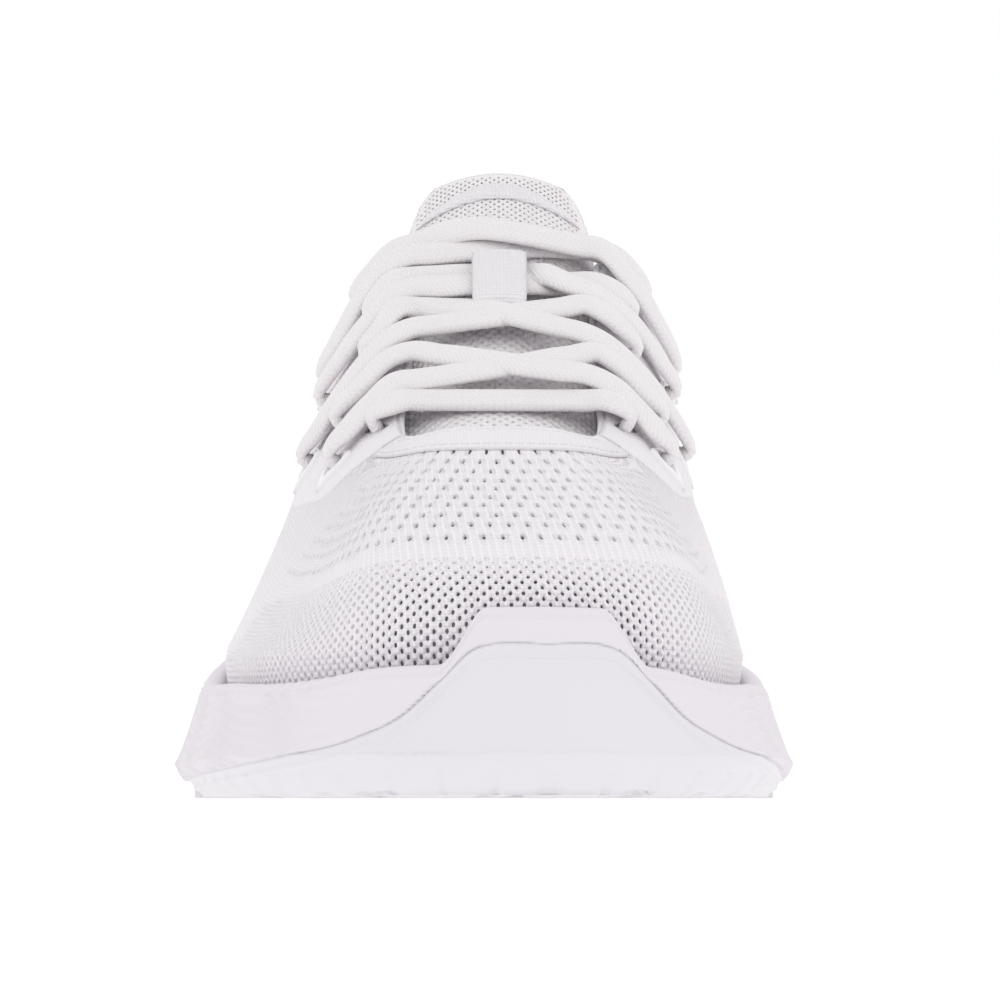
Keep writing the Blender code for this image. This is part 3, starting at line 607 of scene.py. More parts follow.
def make_piece(name, points, faces, look, weave=None, tidy=True):
    """A mesh piece from points in millimetres. Weave holds each point's texture coordinates."""
    mesh = bpy.data.meshes.new(name)
    mesh.from_pydata(to_world(points).tolist(), [], [list(face) for face in faces])
    if weave is not None:
        flat = np.zeros((len(mesh.vertices), 3))
        flat[:, :2] = np.asarray(weave, float).reshape(-1, 2)
        stored = mesh.attributes.new("weave", "FLOAT_VECTOR", "POINT")
        stored.data.foreach_set("vector", flat.ravel())
    if tidy:
        work = bmesh.new()
        work.from_mesh(mesh)
        bmesh.ops.remove_doubles(work, verts=work.verts, dist=0.01 * MM)
        bmesh.ops.recalc_face_normals(work, faces=work.faces)
        work.to_mesh(mesh)
        work.free()
    mesh.shade_smooth()
    obj = bpy.data.objects.new(name, mesh)
    obj.data.materials.append(MATERIALS[look])
    bpy.context.scene.collection.objects.link(obj)
    return obj


def thicken(obj, thickness):
    """Gives a sheet its thickness, behind the face that was drawn."""
    solidify = obj.modifiers.new("thickness", "SOLIDIFY")
    solidify.thickness = thickness * MM
    solidify.offset = -1
    solidify.use_even_offset = False


def bend_with_sole(obj):
    """Bakes a piece's placement into its mesh. The ends of the bend between the shoe's body and the
    forefoot's are worked out but not used.
    """
    ends = [(0.0, (t - MIDDLE[1]) * MM, 0.015) for t in BEND]
    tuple(ends[0])
    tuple(ends[1])
    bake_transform(obj)


def grid_faces(rows, columns, start=0, wrap=False):
    """Quads of a grid. With wrap, the last column joins the first."""
    across = np.arange(columns if wrap else columns - 1)
    r, c = np.meshgrid(np.arange(rows - 1), across, indexing="ij")
    a = start + r * columns + c
    b = start + r * columns + (c + 1) % columns
    return np.stack([a, b, b + columns, a + columns], -1).reshape(-1, 4).tolist()


def tube_faces(rows, columns, start=0):
    """Faces of a tube of rings, closed at both ends."""
    ends = (start, start + (rows - 1) * columns)
    caps = [tuple(range(first, first + columns)) for first in ends]
    return grid_faces(rows, columns, start, wrap=True) + caps


def loop_places(columns):
    """Places once round the shoe: toe, medial side, heel, lateral side."""
    ahead = np.arange(columns + 1) / columns
    return np.concatenate([ahead, -ahead[-2:0:-1]])


def close_across(count, start):
    """Faces that close a ring straight across the shoe."""
    faces = []
    for i in range(count // 2):
        across = [start + i, start + i + 1, start + (count - i - 1) % count]
        if i:
            across.append(start + count - i)
        faces.append(tuple(dict.fromkeys(across)))
    return faces


def copy_of_node(name, new_name, look):
    """A smoother copy of a CAD node, shown in the node's place."""
    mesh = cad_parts[name].data.copy()
    mesh.name = new_name
    mesh.materials.clear()
    mesh.materials.append(MATERIALS[look])
    obj = bpy.data.objects.new(new_name, mesh)
    bpy.context.scene.collection.objects.link(obj)
    work = bmesh.new()
    work.from_mesh(mesh)
    bmesh.ops.remove_doubles(work, verts=work.verts, dist=0.005 * MM)
    long_edges = [edge for edge in work.edges if edge.calc_length() > 6 * MM]
    bmesh.ops.subdivide_edges(work, edges=long_edges, cuts=1, use_grid_fill=True)
    bmesh.ops.triangulate(work, faces=work.faces)
    work.to_mesh(mesh)
    work.free()
    mesh.shade_smooth()
    mesh.set_sharp_from_angle(angle=0.7)
    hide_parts(name)
    return obj


# ---------------------------------------------------------------- sole


def wave_lines(place, z):
    """Height of the fine wavy lines moulded into the sidewall, from 0 to 1."""
    arc = arc_along(place)
    drift = 0.55 * np.sin(arc / 8.5) + 0.35 * np.sin(arc / 3.9 + z / 4.0) + 0.012 * np.abs(arc)
    crest = 0.5 + 0.5 * np.cos(2 * np.pi * (z / LINE_PITCH + drift))
    return crest**1.5 * smoothstep(20, 62, arc_from_toe(place))


def make_midsole():
    """Foam sidewall with moulded lines, a roped rim and the bed that the upper sits in."""
    place = loop_places(500)
    count = len(place)
    t = plan(place)[:, 1]
    lifted = lip(place)
    rim = rim_height(t) + LIP_RISE * lifted
    covered = 1 - smoothstep(TOE_PAD_END + 1, TOE_PAD_END + 9, t)
    bottom = ground(t) + RUBBER + GAP
    over_wrap = wrap_top(place) - 0.7
    shelf = over_wrap + 0.6
    rings = []

    def add_ring(inset, z):
        rings.append(raised(plan(place, inset), z))

    wall_top = rim - RIM_ROUND
    for share in np.linspace(0, 1, 66):
        z = bottom + (wall_top - bottom) * share
        above_wrap = smoothstep(0, 1, (z - over_wrap) / (shelf - over_wrap))
        tucked = (RUBBER + 2 * GAP) * covered * (1 - above_wrap)
        lines = LINE_DEPTH * wave_lines(place, z) * (tucked < 0.1)
        add_ring(wall_inset(place, z) + tucked - lines, z)
    twist = 0.5 + 0.5 * np.cos(2 * np.pi * arc_along(place) / ROPE_PITCH)
    rope = ROPE_DEPTH * twist * smoothstep(20, 45, arc_from_toe(place))
    for turn in np.linspace(0.15, 1, 6) * np.pi / 2:
        inset = wall_inset(place, rim) + RIM_ROUND * (1 - np.cos(turn)) - rope * np.cos(turn - 0.6)
        add_ring(inset, wall_top + RIM_ROUND * np.sin(turn) + rope * np.sin(turn) * 0.7)
    inner = wall_inset(place, rim) + RIM_WIDTH - 0.9 * lifted
    add_ring(inner - 0.7, rim)
    add_ring(inner, rim - 0.7)
    add_ring(8.9 + 1.4 * toe_share(place), bed_height(place))
    faces = grid_faces(len(rings), count, wrap=True)
    faces += close_across(count, 0) + close_across(count, (len(rings) - 1) * count)
    obj = make_piece("midsole_foam", np.concatenate(rings), faces, "foam")
    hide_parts("midsole")
    bend_with_sole(obj)


def shell_faces(faces, count):
    """Faces of a closed shell whose inner skin repeats the outer skin's points after count."""
    uses = {}
    for face in faces:
        for one, two in zip(face, face[1:] + face[:1]):
            uses.setdefault(frozenset((one, two)), []).append((one, two))
    border = [found[0] for found in uses.values() if len(found) == 1]
    inner = [tuple(point + count for point in face[::-1]) for face in faces]
    return faces + inner + [(two, one, one + count, two + count) for one, two in border]


def tread(x, t):
    """Depth of the outsole's grooves under a point."""
    aside = np.abs(x - AXIS_X)
    chevron = np.abs((t + 0.45 * aside) % CHEVRON_PITCH - CHEVRON_PITCH / 2) < GROOVE_HALF
    split = np.abs((aside + 6.0) % SPLIT_PITCH - SPLIT_PITCH / 2) < GROOVE_HALF
    return GROOVE_DEPTH * (chevron | split)


def make_toe_rubber():
    """Rubber under the toe that wraps up over it, with the raised line along its edge."""
    around = 300
    t = plan(loop_places(around))[:, 1]
    reach = int(np.searchsorted(np.maximum(t[1:around], t[:around:-1]), TOE_PAD_END))
    place = np.arange(-reach, reach + 1) / around
    t = plan(place)[:, 1]
    top, floor = wrap_top(place), ground(t)
    arc = arc_along(place)
    rows, inner_rows = [], []
    for share in np.concatenate([np.linspace(0, 0.35, 22)[:-1], np.linspace(0.35, 1, 26)]):
        z = top + (floor - top) * share
        below_top = top - z
        line = 0.40 * np.exp(-(((below_top - 2.1) / 0.42) ** 2))
        soft_edge = 0.35 * (1 - smoothstep(0, 0.7, below_top))
        above = z - floor
        lugs = 0.35 * (np.abs(arc) % 8.0 < 1.3) * (above < 3.2)
        inset = wall_inset(place, z)
        rows.append(raised(plan(place, inset - line + soft_edge + lugs), z))
        deep = plan(place, inset + TOE_RUBBER_WALL)
        inner_rows.append(raised(deep, np.maximum(z, floor + TOE_RUBBER_WALL)))
    columns = len(place)
    faces = [face[::-1] for face in grid_faces(len(rows), columns)]
    start = (len(rows) - 1) * columns
    across = 44
    share = (np.arange(1, across) / across)[:, None]
    first = len(rows) * columns

    def underside(edge, groove, lift):
        lines = []
        for i in range(1, reach + 1):
            line = edge[reach - i] * (1 - share) + edge[reach + i] * share
            behind = line[:, 1] - edge[reach, 1]
            depth = groove * tread(line[:, 0], line[:, 1]) * smoothstep(0, 3, behind)
            line[:, 2] = ground(line[:, 1]) + lift + depth
            lines.append(line)
        return lines

    def bottom_point(i, j):
        if i == 0:
            return start + reach
        if j == 0:
            return start + reach - i
        if j == across:
            return start + reach + i
        return first + (i - 1) * (across - 1) + j - 1

    outer = np.concatenate([*rows, *underside(rows[-1], 1.0, 0.0)])
    inner = np.concatenate([*inner_rows, *underside(inner_rows[-1], 0.0, TOE_RUBBER_WALL)])
    for i in range(reach):
        for j in range(across):
            square = ((i, j), (i, j + 1), (i + 1, j + 1), (i + 1, j))
            corners = tuple(dict.fromkeys(bottom_point(*corner) for corner in square))
            if len(corners) > 2:
                faces.append(corners)
    points = np.concatenate([outer, inner])
    obj = make_piece("toe_rubber", points, shell_faces(faces, len(outer)), "rubber")
    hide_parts("outsole_toe")
    bend_with_sole(obj)


def make_tread_pad(name, node, stations, left, right):
    """A rubber pad under the sole with its tread cut into it."""
    across = 60
    share = np.linspace(0, 1, across)
    x = left[:, None] * (1 - share) + right[:, None] * share
    t = np.repeat(stations[:, None], across, axis=1)
    border = np.minimum(x - left[:, None], right[:, None] - x)
    border = np.minimum(border, np.minimum(t - stations[0], stations[-1] - t))
    low = np.stack([x, t, ground(t) + np.where(border > 1.2, tread(x, t), 0.0)], -1)
    high = np.stack([x, t, ground(t) + RUBBER], -1)
    rows = len(stations)
    size = rows * across
    rim = list(range(across)) + [r * across + across - 1 for r in range(1, rows)]
    rim += [size - 1 - c for c in range(1, across)] + [r * across for r in range(rows - 2, 0, -1)]
    faces = grid_faces(rows, across) + grid_faces(rows, across, size)
    faces += [(a, b, b + size, a + size) for a, b in zip(rim, rim[1:] + rim[:1])]
    points = np.concatenate([low.reshape(-1, 3), high.reshape(-1, 3)])
    obj = make_piece(name, points, faces, "rubber")
    obj.data.set_sharp_from_angle(angle=0.6)
    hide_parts(node)
    bend_with_sole(obj)


def make_tread_pads():
    """The forefoot pad, and the two heel pads with a groove between them."""
    stations = np.linspace(*FOREFOOT_PAD, 70)
    edges = [edge_x(stations, side, PAD_INSET) for side in (-1, 1)]
    make_tread_pad("forefoot_rubber", "outsole_forefoot", stations, *edges)
    stations = np.linspace(*HEEL_PAD, 90)
    lateral, medial = (edge_x(stations, side, PAD_INSET) for side in (-1, 1))
    groove = np.full(len(stations), 4.5)
    make_tread_pad("heel_rubber_lateral", "outsole_heel_lateral", stations, lateral, groove - 5)
    make_tread_pad("heel_rubber_medial", "outsole_heel_medial", stations, groove + 5, medial)


# ---------------------------------------------------------------- sheets with holes


def ellipse(count):
    turn = whole_turn(count)
    return np.cos(turn), np.sin(turn)


def slot_shape():
    """A lace slot's rounded rectangle."""
    return tuple(squarer(part, 0.45) for part in ellipse(16))


def loops_on(surface, centres, halves, shape, scale):
    """Outlines in the domain of holes with true half sizes on the surface, in millimetres."""

    def at(u, v):
        return surface(u / scale[0], v / scale[1])

    u, v = centres[:, 0], centres[:, 1]
    step = 0.5
    du = (at(u + step, v) - at(u - step, v)) / (2 * step)
    dv = (at(u, v + step) - at(u, v - step)) / (2 * step)
    up = unit(dv)
    side = du - up * (du * up).sum(1, keepdims=True)
    side_length = np.linalg.norm(side, axis=1)
    lean = (du * up).sum(1) / side_length
    up_length = np.linalg.norm(dv, axis=1)
    across, along = shape
    a = halves[:, :1] * across[None]
    b = halves[:, 1:] * along[None]
    loop_u = a / side_length[:, None]
    loop_v = (b - a * lean[:, None]) / up_length[:, None]
    return np.stack([u[:, None] + loop_u, v[:, None] + loop_v], -1)


def sheet_with_holes(surface, limits, scale, step, groups):
    """Points (u, v) and faces of a sheet over a rectangle, open at each hole's outline."""
    (u0, u1), (v0, v1) = ((low * k, high * k) for (low, high), k in zip(limits, scale))
    loops = [loops_on(surface, centres, halves, shape, scale) for centres, halves, shape in groups]
    us = np.linspace(u0, u1, int(round((u1 - u0) / step[0])) + 1)
    vs = np.linspace(v0, v1, int(round((v1 - v0) / step[1])) + 1)
    gu, gv = np.meshgrid(us, vs)
    keep = np.ones(gu.shape, bool)
    for loop in loops:
        low, high = loop.min(axis=1), loop.max(axis=1)
        middle, half = (low + high) / 2, (high - low) / 2
        for (cu, cv), (hu, hv) in zip(middle, half):
            c0, c1 = np.searchsorted(us, (cu - 1.7 * hu, cu + 1.7 * hu))
            r0, r1 = np.searchsorted(vs, (cv - 1.7 * hv, cv + 1.7 * hv))
            near = ((gu[r0:r1, c0:c1] - cu) / hu) ** 2 + ((gv[r0:r1, c0:c1] - cv) / hv) ** 2
            keep[r0:r1, c0:c1] &= near > 2.0
    points = [Vector(p) for p in np.stack([gu[keep], gv[keep]], -1)]
    polygons = []
    for loop in loops:
        for outline in loop:
            polygons.append(list(range(len(points), len(points) + len(outline))))
            points += [Vector(p) for p in outline]
    found = delaunay_2d_cdt(points, [], polygons, 0, 1e-5)
    flat = np.array([tuple(p) for p in found[0]])
    faces = [face for face, origin in zip(found[2], found[5]) if not origin]
    return flat[:, 0] / scale[0], flat[:, 1] / scale[1], faces


def row_points(surface, scale, row, pitch, reach, shift):
    """Points on one row of a sheet, a true pitch apart from the middle outwards.

    Each is a point of the domain, then its distance aside from the middle.
    """
    u = np.linspace(-reach, reach, 1601)
    arc = running_distance(surface(u, np.full(u.shape, row)))
    arc -= np.interp(0.0, u, arc)
    steps = np.arange(np.ceil(arc[0] / pitch), np.floor(arc[-1] / pitch)) + shift
    aside = steps * pitch
    aside = aside[(aside > arc[0]) & (aside < arc[-1])]
    at = np.interp(aside, arc, u)
    return np.stack([at * scale[0], np.full(at.shape, row * scale[1]), aside], -1)


def lattice(surface, scale, rows, pitch, reach):
    """The points of many rows, with every other row shifted by half a pitch."""
    return np.concatenate([
        row_points(surface, scale, row, pitch, reach, 0.5 * (k % 2)) for k, row in enumerate(rows)
    ])


def running_lengths(surface, u_limits, v_limits):
    """A function from (u, v) to distances along the sheet: across from u = 0, and up from v0."""
    columns, rows = 401, 61
    us, vs = np.linspace(*u_limits, columns), np.linspace(*v_limits, rows)
    gu, gv = np.meshgrid(us, vs)
    points = surface(gu, gv)
    across = np.zeros(gu.shape)
    across[:, 1:] = np.cumsum(np.linalg.norm(np.diff(points, axis=1), axis=2), axis=1)
    across -= across[:, [int(np.argmin(np.abs(us)))]]
    up = np.zeros(gu.shape)
    up[1:] = np.cumsum(np.linalg.norm(np.diff(points, axis=0), axis=2), axis=0)

    def read(u, v):
        c = np.clip((u - us[0]) / (us[-1] - us[0]) * (columns - 1), 0, columns - 1.001)
        r = np.clip((v - vs[0]) / (vs[-1] - vs[0]) * (rows - 1), 0, rows - 1.001)
        i, j = r.astype(int), c.astype(int)
        fr, fc = r - i, c - j
        return np.stack([
            (1 - fr) * ((1 - fc) * table[i, j] + fc * table[i, j + 1])
            + fr * ((1 - fc) * table[i + 1, j] + fc * table[i + 1, j + 1])
            for table in (across, up)
        ], -1)

    return read


# ---------------------------------------------------------------- upper


def row_at(distance=None, t=None):
    """Row on the toe's centre line at a distance above the widest row, or at a t."""
    rows = np.linspace(0.0, 1.0, 2001)
    line = upper_outer(np.zeros(rows.shape), rows)
    if t is not None:
        bent = rows > WIDEST_ROW
        return np.interp(t, line[bent, 1], rows[bent])
    arc = running_distance(line)
    arc -= np.interp(WIDEST_ROW, rows, arc)
    return np.interp(distance, arc, rows)


def lace_slots(scale, domain=lambda place, row: (place, row), sides=(-1, 1)):
    """The lace slots as a group of holes in a sheet's domain."""
    centres = []
    for side in sides:
        for place, row in INNER_HOLES + OUTER_HOLES:
            u, v = domain(side * place, row)
            centres.append((u * scale[0], v * scale[1]))
    return np.array(centres, float), np.tile(SLOT_HALVES, (len(centres), 1)), slot_shape()


def mesh_holes(surface, scale):
    """The toe's round mesh: small staggered holes that fade towards the vamp and the sides."""
    distance = np.arange(-8.0, 16.0, MESH_PITCH[1])
    rows = row_at(distance=distance)
    found = lattice(surface, scale, rows, MESH_PITCH[0], 0.36)
    above = np.repeat(distance, [(found[:, 1] == row * scale[1]).sum() for row in rows])
    arc = np.abs(found[:, 2])
    size = (1 - 0.75 * smoothstep(9.5, 15.5, above)) * (1 - 0.8 * smoothstep(50, 104, arc))
    kept = (size > 0.28) & (arc < 101)
    return found[kept, :2], size[kept, None] * np.array(MESH_HOLE), ellipse(8)


def slit_holes(surface, scale):
    """Staggered slits over the vamp, longer towards the throat."""
    first = (76.0, 58.5, 45.0, 34.5, 25.5)
    second = (67.0, 51.0, 39.0, 29.5, 21.5)
    centres, halves = [], []
    for pair in zip(first, second):
        for t, shift in zip(pair, (0.0, 0.5)):
            row = float(row_at(t=t))
            line = row_points(surface, scale, row, SLIT_PITCH, 0.34, shift)
            limit = np.interp(row, (0.40, 0.55, 0.9), (0.33, 0.27, 0.15))
            line = line[np.abs(line[:, 0] / scale[0]) < limit]
            long = np.interp(t, (20, 45, 76), (0.9, 1.5, 2.6))
            wide = np.interp(t, (20, 45, 76), (0.34, 0.30, 0.28))
            fade = 1 - 0.7 * smoothstep(0.5, 1.0, np.abs(line[:, 0] / scale[0]) / limit)
            centres.append(line[:, :2])
            halves.append(np.stack([fade * wide, fade * long], -1))
    return np.concatenate(centres), np.concatenate(halves), ellipse(10)


def make_upper():
    """One knit skin with the toe's mesh, the vamp's slits and the lace slots cut through."""
    scale = (ROUND, CLIMB)
    groups = [mesh_holes(upper, scale), slit_holes(upper, scale), lace_slots(scale)]
    place, row, faces = sheet_with_holes(upper, ((-1, 1), (0, 1)), scale, (3.0, 2.9), groups)
    weave = running_lengths(upper, (-1, 1), (0, 1))(place, row)
    obj = make_piece("knit_upper", upper(place, row), faces, "knit", weave)
    thicken(obj, 0.9)
    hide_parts("upper_knit")
    bend_with_sole(obj)


def make_mesh_backing():
    """The knit's inner skin, which closes the mesh's holes from behind, in a grey that is partly painted
    shade in the holes.
    """
    place, row = np.meshgrid(np.linspace(-0.5, 0.5, 180), np.linspace(0.12, 0.985, 70))
    weave = np.stack([place * ROUND, row * CLIMB], -1)
    points = upper(place, row, -1.15)
    obj = make_piece("knit_backing", points, grid_faces(70, 180), "under", weave)
    thicken(obj, 0.25)
    bend_with_sole(obj)


def eyestay_low(place):
    """Row of an eyestay's lower edge."""
    keys = (0.24, 0.29, 0.33, 0.38, 0.44, 0.50, 0.55, 0.60, 0.645)
    rows = (0.93, 0.80, 0.68, 0.60, 0.52, 0.55, 0.56, 0.58, 0.70)
    return smooth_curve(keys, rows, np.abs(place))[..., 0]


def make_eyestay(name, node, side):
    """Smooth reinforcement along the laces, with its slots."""
    scale = (ROUND, 45.0)

    def surface(u, v):
        low = eyestay_low(u)
        proud = 0.6 * np.clip(np.asarray(v) * 10, 0, 1) ** 0.5 - 0.05
        return upper(u, low + (0.995 - low) * np.clip(v, 0, 1), proud)

    def domain(place, row):
        low = float(eyestay_low(place))
        return place, (row - low) / (0.995 - low)

    limits = tuple(sorted((side * 0.245, side * 0.642)))
    slots = [lace_slots(scale, domain, (side,))]
    u, v, faces = sheet_with_holes(surface, (limits, (0, 1)), scale, (1.6, 1.6), slots)
    weave = running_lengths(surface, limits, (0, 1))(u, v)
    obj = make_piece(name, surface(u, v), faces, "band", weave)
    thicken(obj, 0.45)
    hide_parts(node)
    bend_with_sole(obj)


def make_lace_tabs():
    """Glossy rims round the outer slots, each drawn out into a wedge below it."""
    turn = np.linspace(0, 2 * np.pi, 49)[:-1]
    across, along = squarer(np.cos(turn), 0.6), squarer(np.sin(turn), 0.6)
    drawn = np.where(along < 0, along * (1 + 1.5 * (1 - np.abs(across)) ** 1.3), along)
    steps = ((2.55, 0.2), (2.5, 0.95), (2.9, 1.25), (3.5, 1.25), (3.95, 1.0), (4.05, 0.3))
    scale = (ROUND, CLIMB)
    for side, word in ((-1, "lateral"), (1, "medial")):
        for number, (place, row) in enumerate(OUTER_HOLES):
            centre = np.array([[side * place * ROUND, row * CLIMB]])
            rings = []
            for grow, proud in steps:
                shape = (across, drawn if grow > 2.7 else along)
                loop = loops_on(upper, centre, np.array([[grow, grow - 1.3]]), shape, scale)[0]
                rings.append(upper(loop[:, 0] / ROUND, loop[:, 1] / CLIMB, proud))
            faces = grid_faces(len(rings), len(turn), wrap=True)
            name = f"lace_tab_{word}_{number + 1}"
            bend_with_sole(make_piece(name, np.concatenate(rings), faces, "overlay"))


def stitch_row(name, line, pitch, radius):
    """Small raised stitches along a line."""
    arc = running_distance(line)
    sides = 6
    turn = whole_turn(sides)
    points, faces = [], []
    for start in np.arange(pitch * 0.3, arc[-1] - pitch, pitch):
        at = np.interp([start, start + pitch * 0.72], arc, np.arange(len(arc)))
        ends = np.stack([np.interp(at, np.arange(len(arc)), line[:, k]) for k in range(3)], -1)
        forward = unit(ends[1] - ends[0])
        side = unit(np.cross(forward, (0.3, 0.2, 1.0)))
        lift = np.cross(side, forward)
        faces += tube_faces(5, sides, len(points) * sides)
        for share, swell in ((0.0, 0.25), (0.15, 0.85), (0.5, 1.0), (0.85, 0.85), (1.0, 0.25)):
            centre = ends[0] + (ends[1] - ends[0]) * share
            ring = np.cos(turn)[:, None] * side + np.sin(turn)[:, None] * lift
            points.append(centre + radius * swell * ring)
    bend_with_sole(make_piece(name, np.concatenate(points), faces, "thread"))


def make_throat_band():
    """Smooth band across the bottom of the throat, stitched along its front edge."""

    def front(place):
        return 0.905 - 0.25 * np.abs(place) ** 1.5

    half = 0.235
    u, v = np.meshgrid(np.linspace(-half, half, 120), np.linspace(0, 1, 18))
    row = front(u) + (0.997 - front(u)) * v
    edge = rounded_edge(np.minimum(v, 1 - v) * 9, (half - np.abs(u)) * 60)
    points = upper(u, row, 0.35 + 0.55 * edge)
    weave = running_lengths(upper, (-0.3, 0.3), (0.8, 1.0))(u, row)
    obj = make_piece("throat_band_knit", points, grid_faces(18, 120), "band", weave)
    thicken(obj, 0.4)
    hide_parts("throat_band")
    bend_with_sole(obj)
    line = np.linspace(-0.22, 0.22, 160)
    for number, rise in enumerate((0.010, 0.075)):
        stitch_row(f"throat_stitches_{number + 1}", upper(line, front(line) + rise, 0.95), 1.9, 0.18)


def make_binding():
    """Soft piping over the knit's edge along the throat and the quarters."""
    place = np.linspace(-0.675, 0.675, 420)
    opening = np.ones(place.shape)
    line = upper(place, opening, -0.7)
    ahead = unit(np.gradient(line, axis=0))
    out = square_to(upper(place, opening, 0.3) - line, ahead)
    over = np.cross(ahead, out)
    sides = 12
    turn = whole_turn(sides)
    rings = [line + 1.15 * np.cos(a) * out + 1.0 * np.sin(a) * over for a in turn]
    points = np.stack(rings, 1).reshape(-1, 3)
    faces = tube_faces(len(place), sides)
    arc = running_distance(line)
    weave = np.stack([np.repeat(arc, sides), np.tile(turn * 1.1, len(place))], -1)
    obj = make_piece("opening_binding", points, faces, "lining", weave, tidy=False)
    bend_with_sole(obj)


def puff(obj, cap):
    """Inflates a closed pad a little, moving no point further than the cap."""
    mesh = obj.data
    rest = np.array([vertex.co[:] for vertex in mesh.vertices])
    cloth = obj.modifiers.new("air", "CLOTH")
    cloth.settings.use_pressure = True
    cloth.settings.uniform_pressure_force = 4.0
    cloth.settings.effector_weights.gravity = 0.0
    scene = bpy.context.scene
    for step in range(1, 21):
        scene.frame_set(step)
    done = obj.evaluated_get(bpy.context.evaluated_depsgraph_get()).to_mesh()
    moved = np.array([vertex.co[:] for vertex in done.vertices]) - rest
    obj.modifiers.remove(cloth)
    scene.frame_set(1)
    far = np.linalg.norm(moved, axis=1, keepdims=True)
    moved *= np.minimum(1, cap * MM / np.maximum(far, 1e-9))
    mesh.vertices.foreach_set("co", (rest + moved).ravel())
    mesh.update()


def make_collar():
    """Padding and lining round the ankle: one closed form that rolls over the knit's edge."""
    section = [
        (0.10, -3.8, 0), (0.34, -3.8, 0), (0.55, -3.8, 0), (0.66, -2.6, 0), (0.78, -1.9, 0),
        (0.90, -1.6, 0), (0.98, -1.4, 0.2), (1.0, -1.2, 1.1), (1.0, -2.9, 1.9), (1.0, -4.8, 1.0),
        (0.97, -6.6, 0), (0.91, -8.3, 0), (0.84, -9.0, 0), (0.77, -8.2, 0), (0.69, -6.4, 0),
        (0.60, -5.2, 0), (0.46, -4.8, 0), (0.28, -4.7, 0), (0.10, -4.7, 0),
    ]
    columns, around, count = 190, 72, len(section)
    profile = smooth_curve(range(count), section, np.linspace(0, count, around + 1)[:-1], count)
    place = np.linspace(0.652, 1.348, columns)
    rings = []
    for at in place:
        end = min(at - place[0], place[-1] - at) / (place[-1] - place[0])
        full = float(smoothstep(0, 0.10, end))
        thin = -2.2 + (profile[:, 1] + 2.2) * (0.35 + 0.65 * full)
        points = upper(np.full(around, at), np.clip(profile[:, 0], 0, 1), thin)
        points[:, 2] += profile[:, 2]
        rings.append(points)
    arc, girth = np.linspace(0, 235, columns), np.linspace(0, 120, around)
    weave = np.stack([np.repeat(arc, around), np.tile(girth, columns)], -1)
    points, faces = np.concatenate(rings), tube_faces(columns, around)
    obj = make_piece("collar_padding", points, faces, "lining", weave, tidy=False)
    puff(obj, 0.8)
    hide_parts("collar_foam", "collar_lining")
    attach(obj, "shoe")


def make_back_tape():
    """Knit tape that covers the seam up the back of the heel."""
    place, row = np.meshgrid(np.linspace(0.968, 1.032, 17), np.linspace(0.15, 0.985, 90))
    weave = np.stack([(place - 1) * ROUND, row * CLIMB], -1)
    points = upper(place, row, 0.05 + 0.55 * rounded_edge((0.032 - np.abs(place - 1)) * 150))
    obj = make_piece("back_tape", points, grid_faces(90, 17), "band", weave)
    thicken(obj, 0.5)
    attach(obj, "shoe")


def make_heel_clip():
    """Overlay round the heel with a soft edge, lower towards its ends."""
    place, v = np.meshgrid(np.linspace(29 / 36, 2 - 29 / 36, 160), np.linspace(0, 1, 26))
    row = 0.205 + 0.29 * v - 0.17 * v * smoothstep(0.02, 0.2, np.abs(place - 1))
    edge = rounded_edge(np.minimum(v, 1 - v) * 12, (7 / 36 - np.abs(place - 1)) * 60)
    weave = np.stack([(place - 1) * ROUND, row * CLIMB], -1)
    points = upper(place, row, 0.5 + 1.0 * edge)
    obj = make_piece("heel_overlay", points, grid_faces(26, 160), "band", weave)
    thicken(obj, 0.9)
    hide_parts("heel_clip")
    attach(obj, "shoe")


def make_inner_layers():
    """The vamp's lining, the board, and the sockliner with its hollowed top."""
    # The vamp's backing takes the under look, whose grey is partly painted shade in the slits.
    for node, name, look, slot in (
        ("vamp_lining", "vamp_backing", "under", "lining"),
        ("strobel_board", "strobel_layer", "board", "board"),
    ):
        bend_with_sole(copy_of_node(node, name, look))
    place = loop_places(150)
    low, high = 1.5 + 2 * GAP, 1.5 + 2 * GAP + 4.0
    inset, bed = 13.0 + 2.3 * toe_share(place), bed_height(place)
    steps = ((1.0, low), (0.2, low + 0.6), (0.0, high - 1.2), (0.4, high - 0.35), (1.2, high))
    rings = [raised(plan(place, inset + extra), bed + z) for extra, z in steps]
    count = len(place)
    edge = rings[-1]
    mirrored = edge[(-np.arange(count)) % count]
    middle = (edge + mirrored) / 2
    for share in (0.15, 0.35, 0.6, 0.85, 1.0):
        ring = edge * (1 - share) + middle * share
        ring[:, 2] -= 0.9 * np.sin(share * np.pi / 2)
        rings.append(ring)
    faces = grid_faces(len(rings), count, wrap=True) + close_across(count, 0)
    obj = make_piece("sockliner_pad", np.concatenate(rings), faces, "sockliner")
    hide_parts("insole")
    bend_with_sole(obj)


# ---------------------------------------------------------------- tongue


def tongue_top(across, along, proud=0.0):
    """The tongue's face, with its top corners rounded into an arch."""
    across = np.asarray(across, float)
    along = np.asarray(along, float)
    arch = 1 - 0.02 * smoothstep(0.80, 1.0, along) * np.abs(across) ** 2.2
    full = 1.1 * (1 - smoothstep(0.2, 0.5, along))
    return tongue(across, along * arch, proud + full)


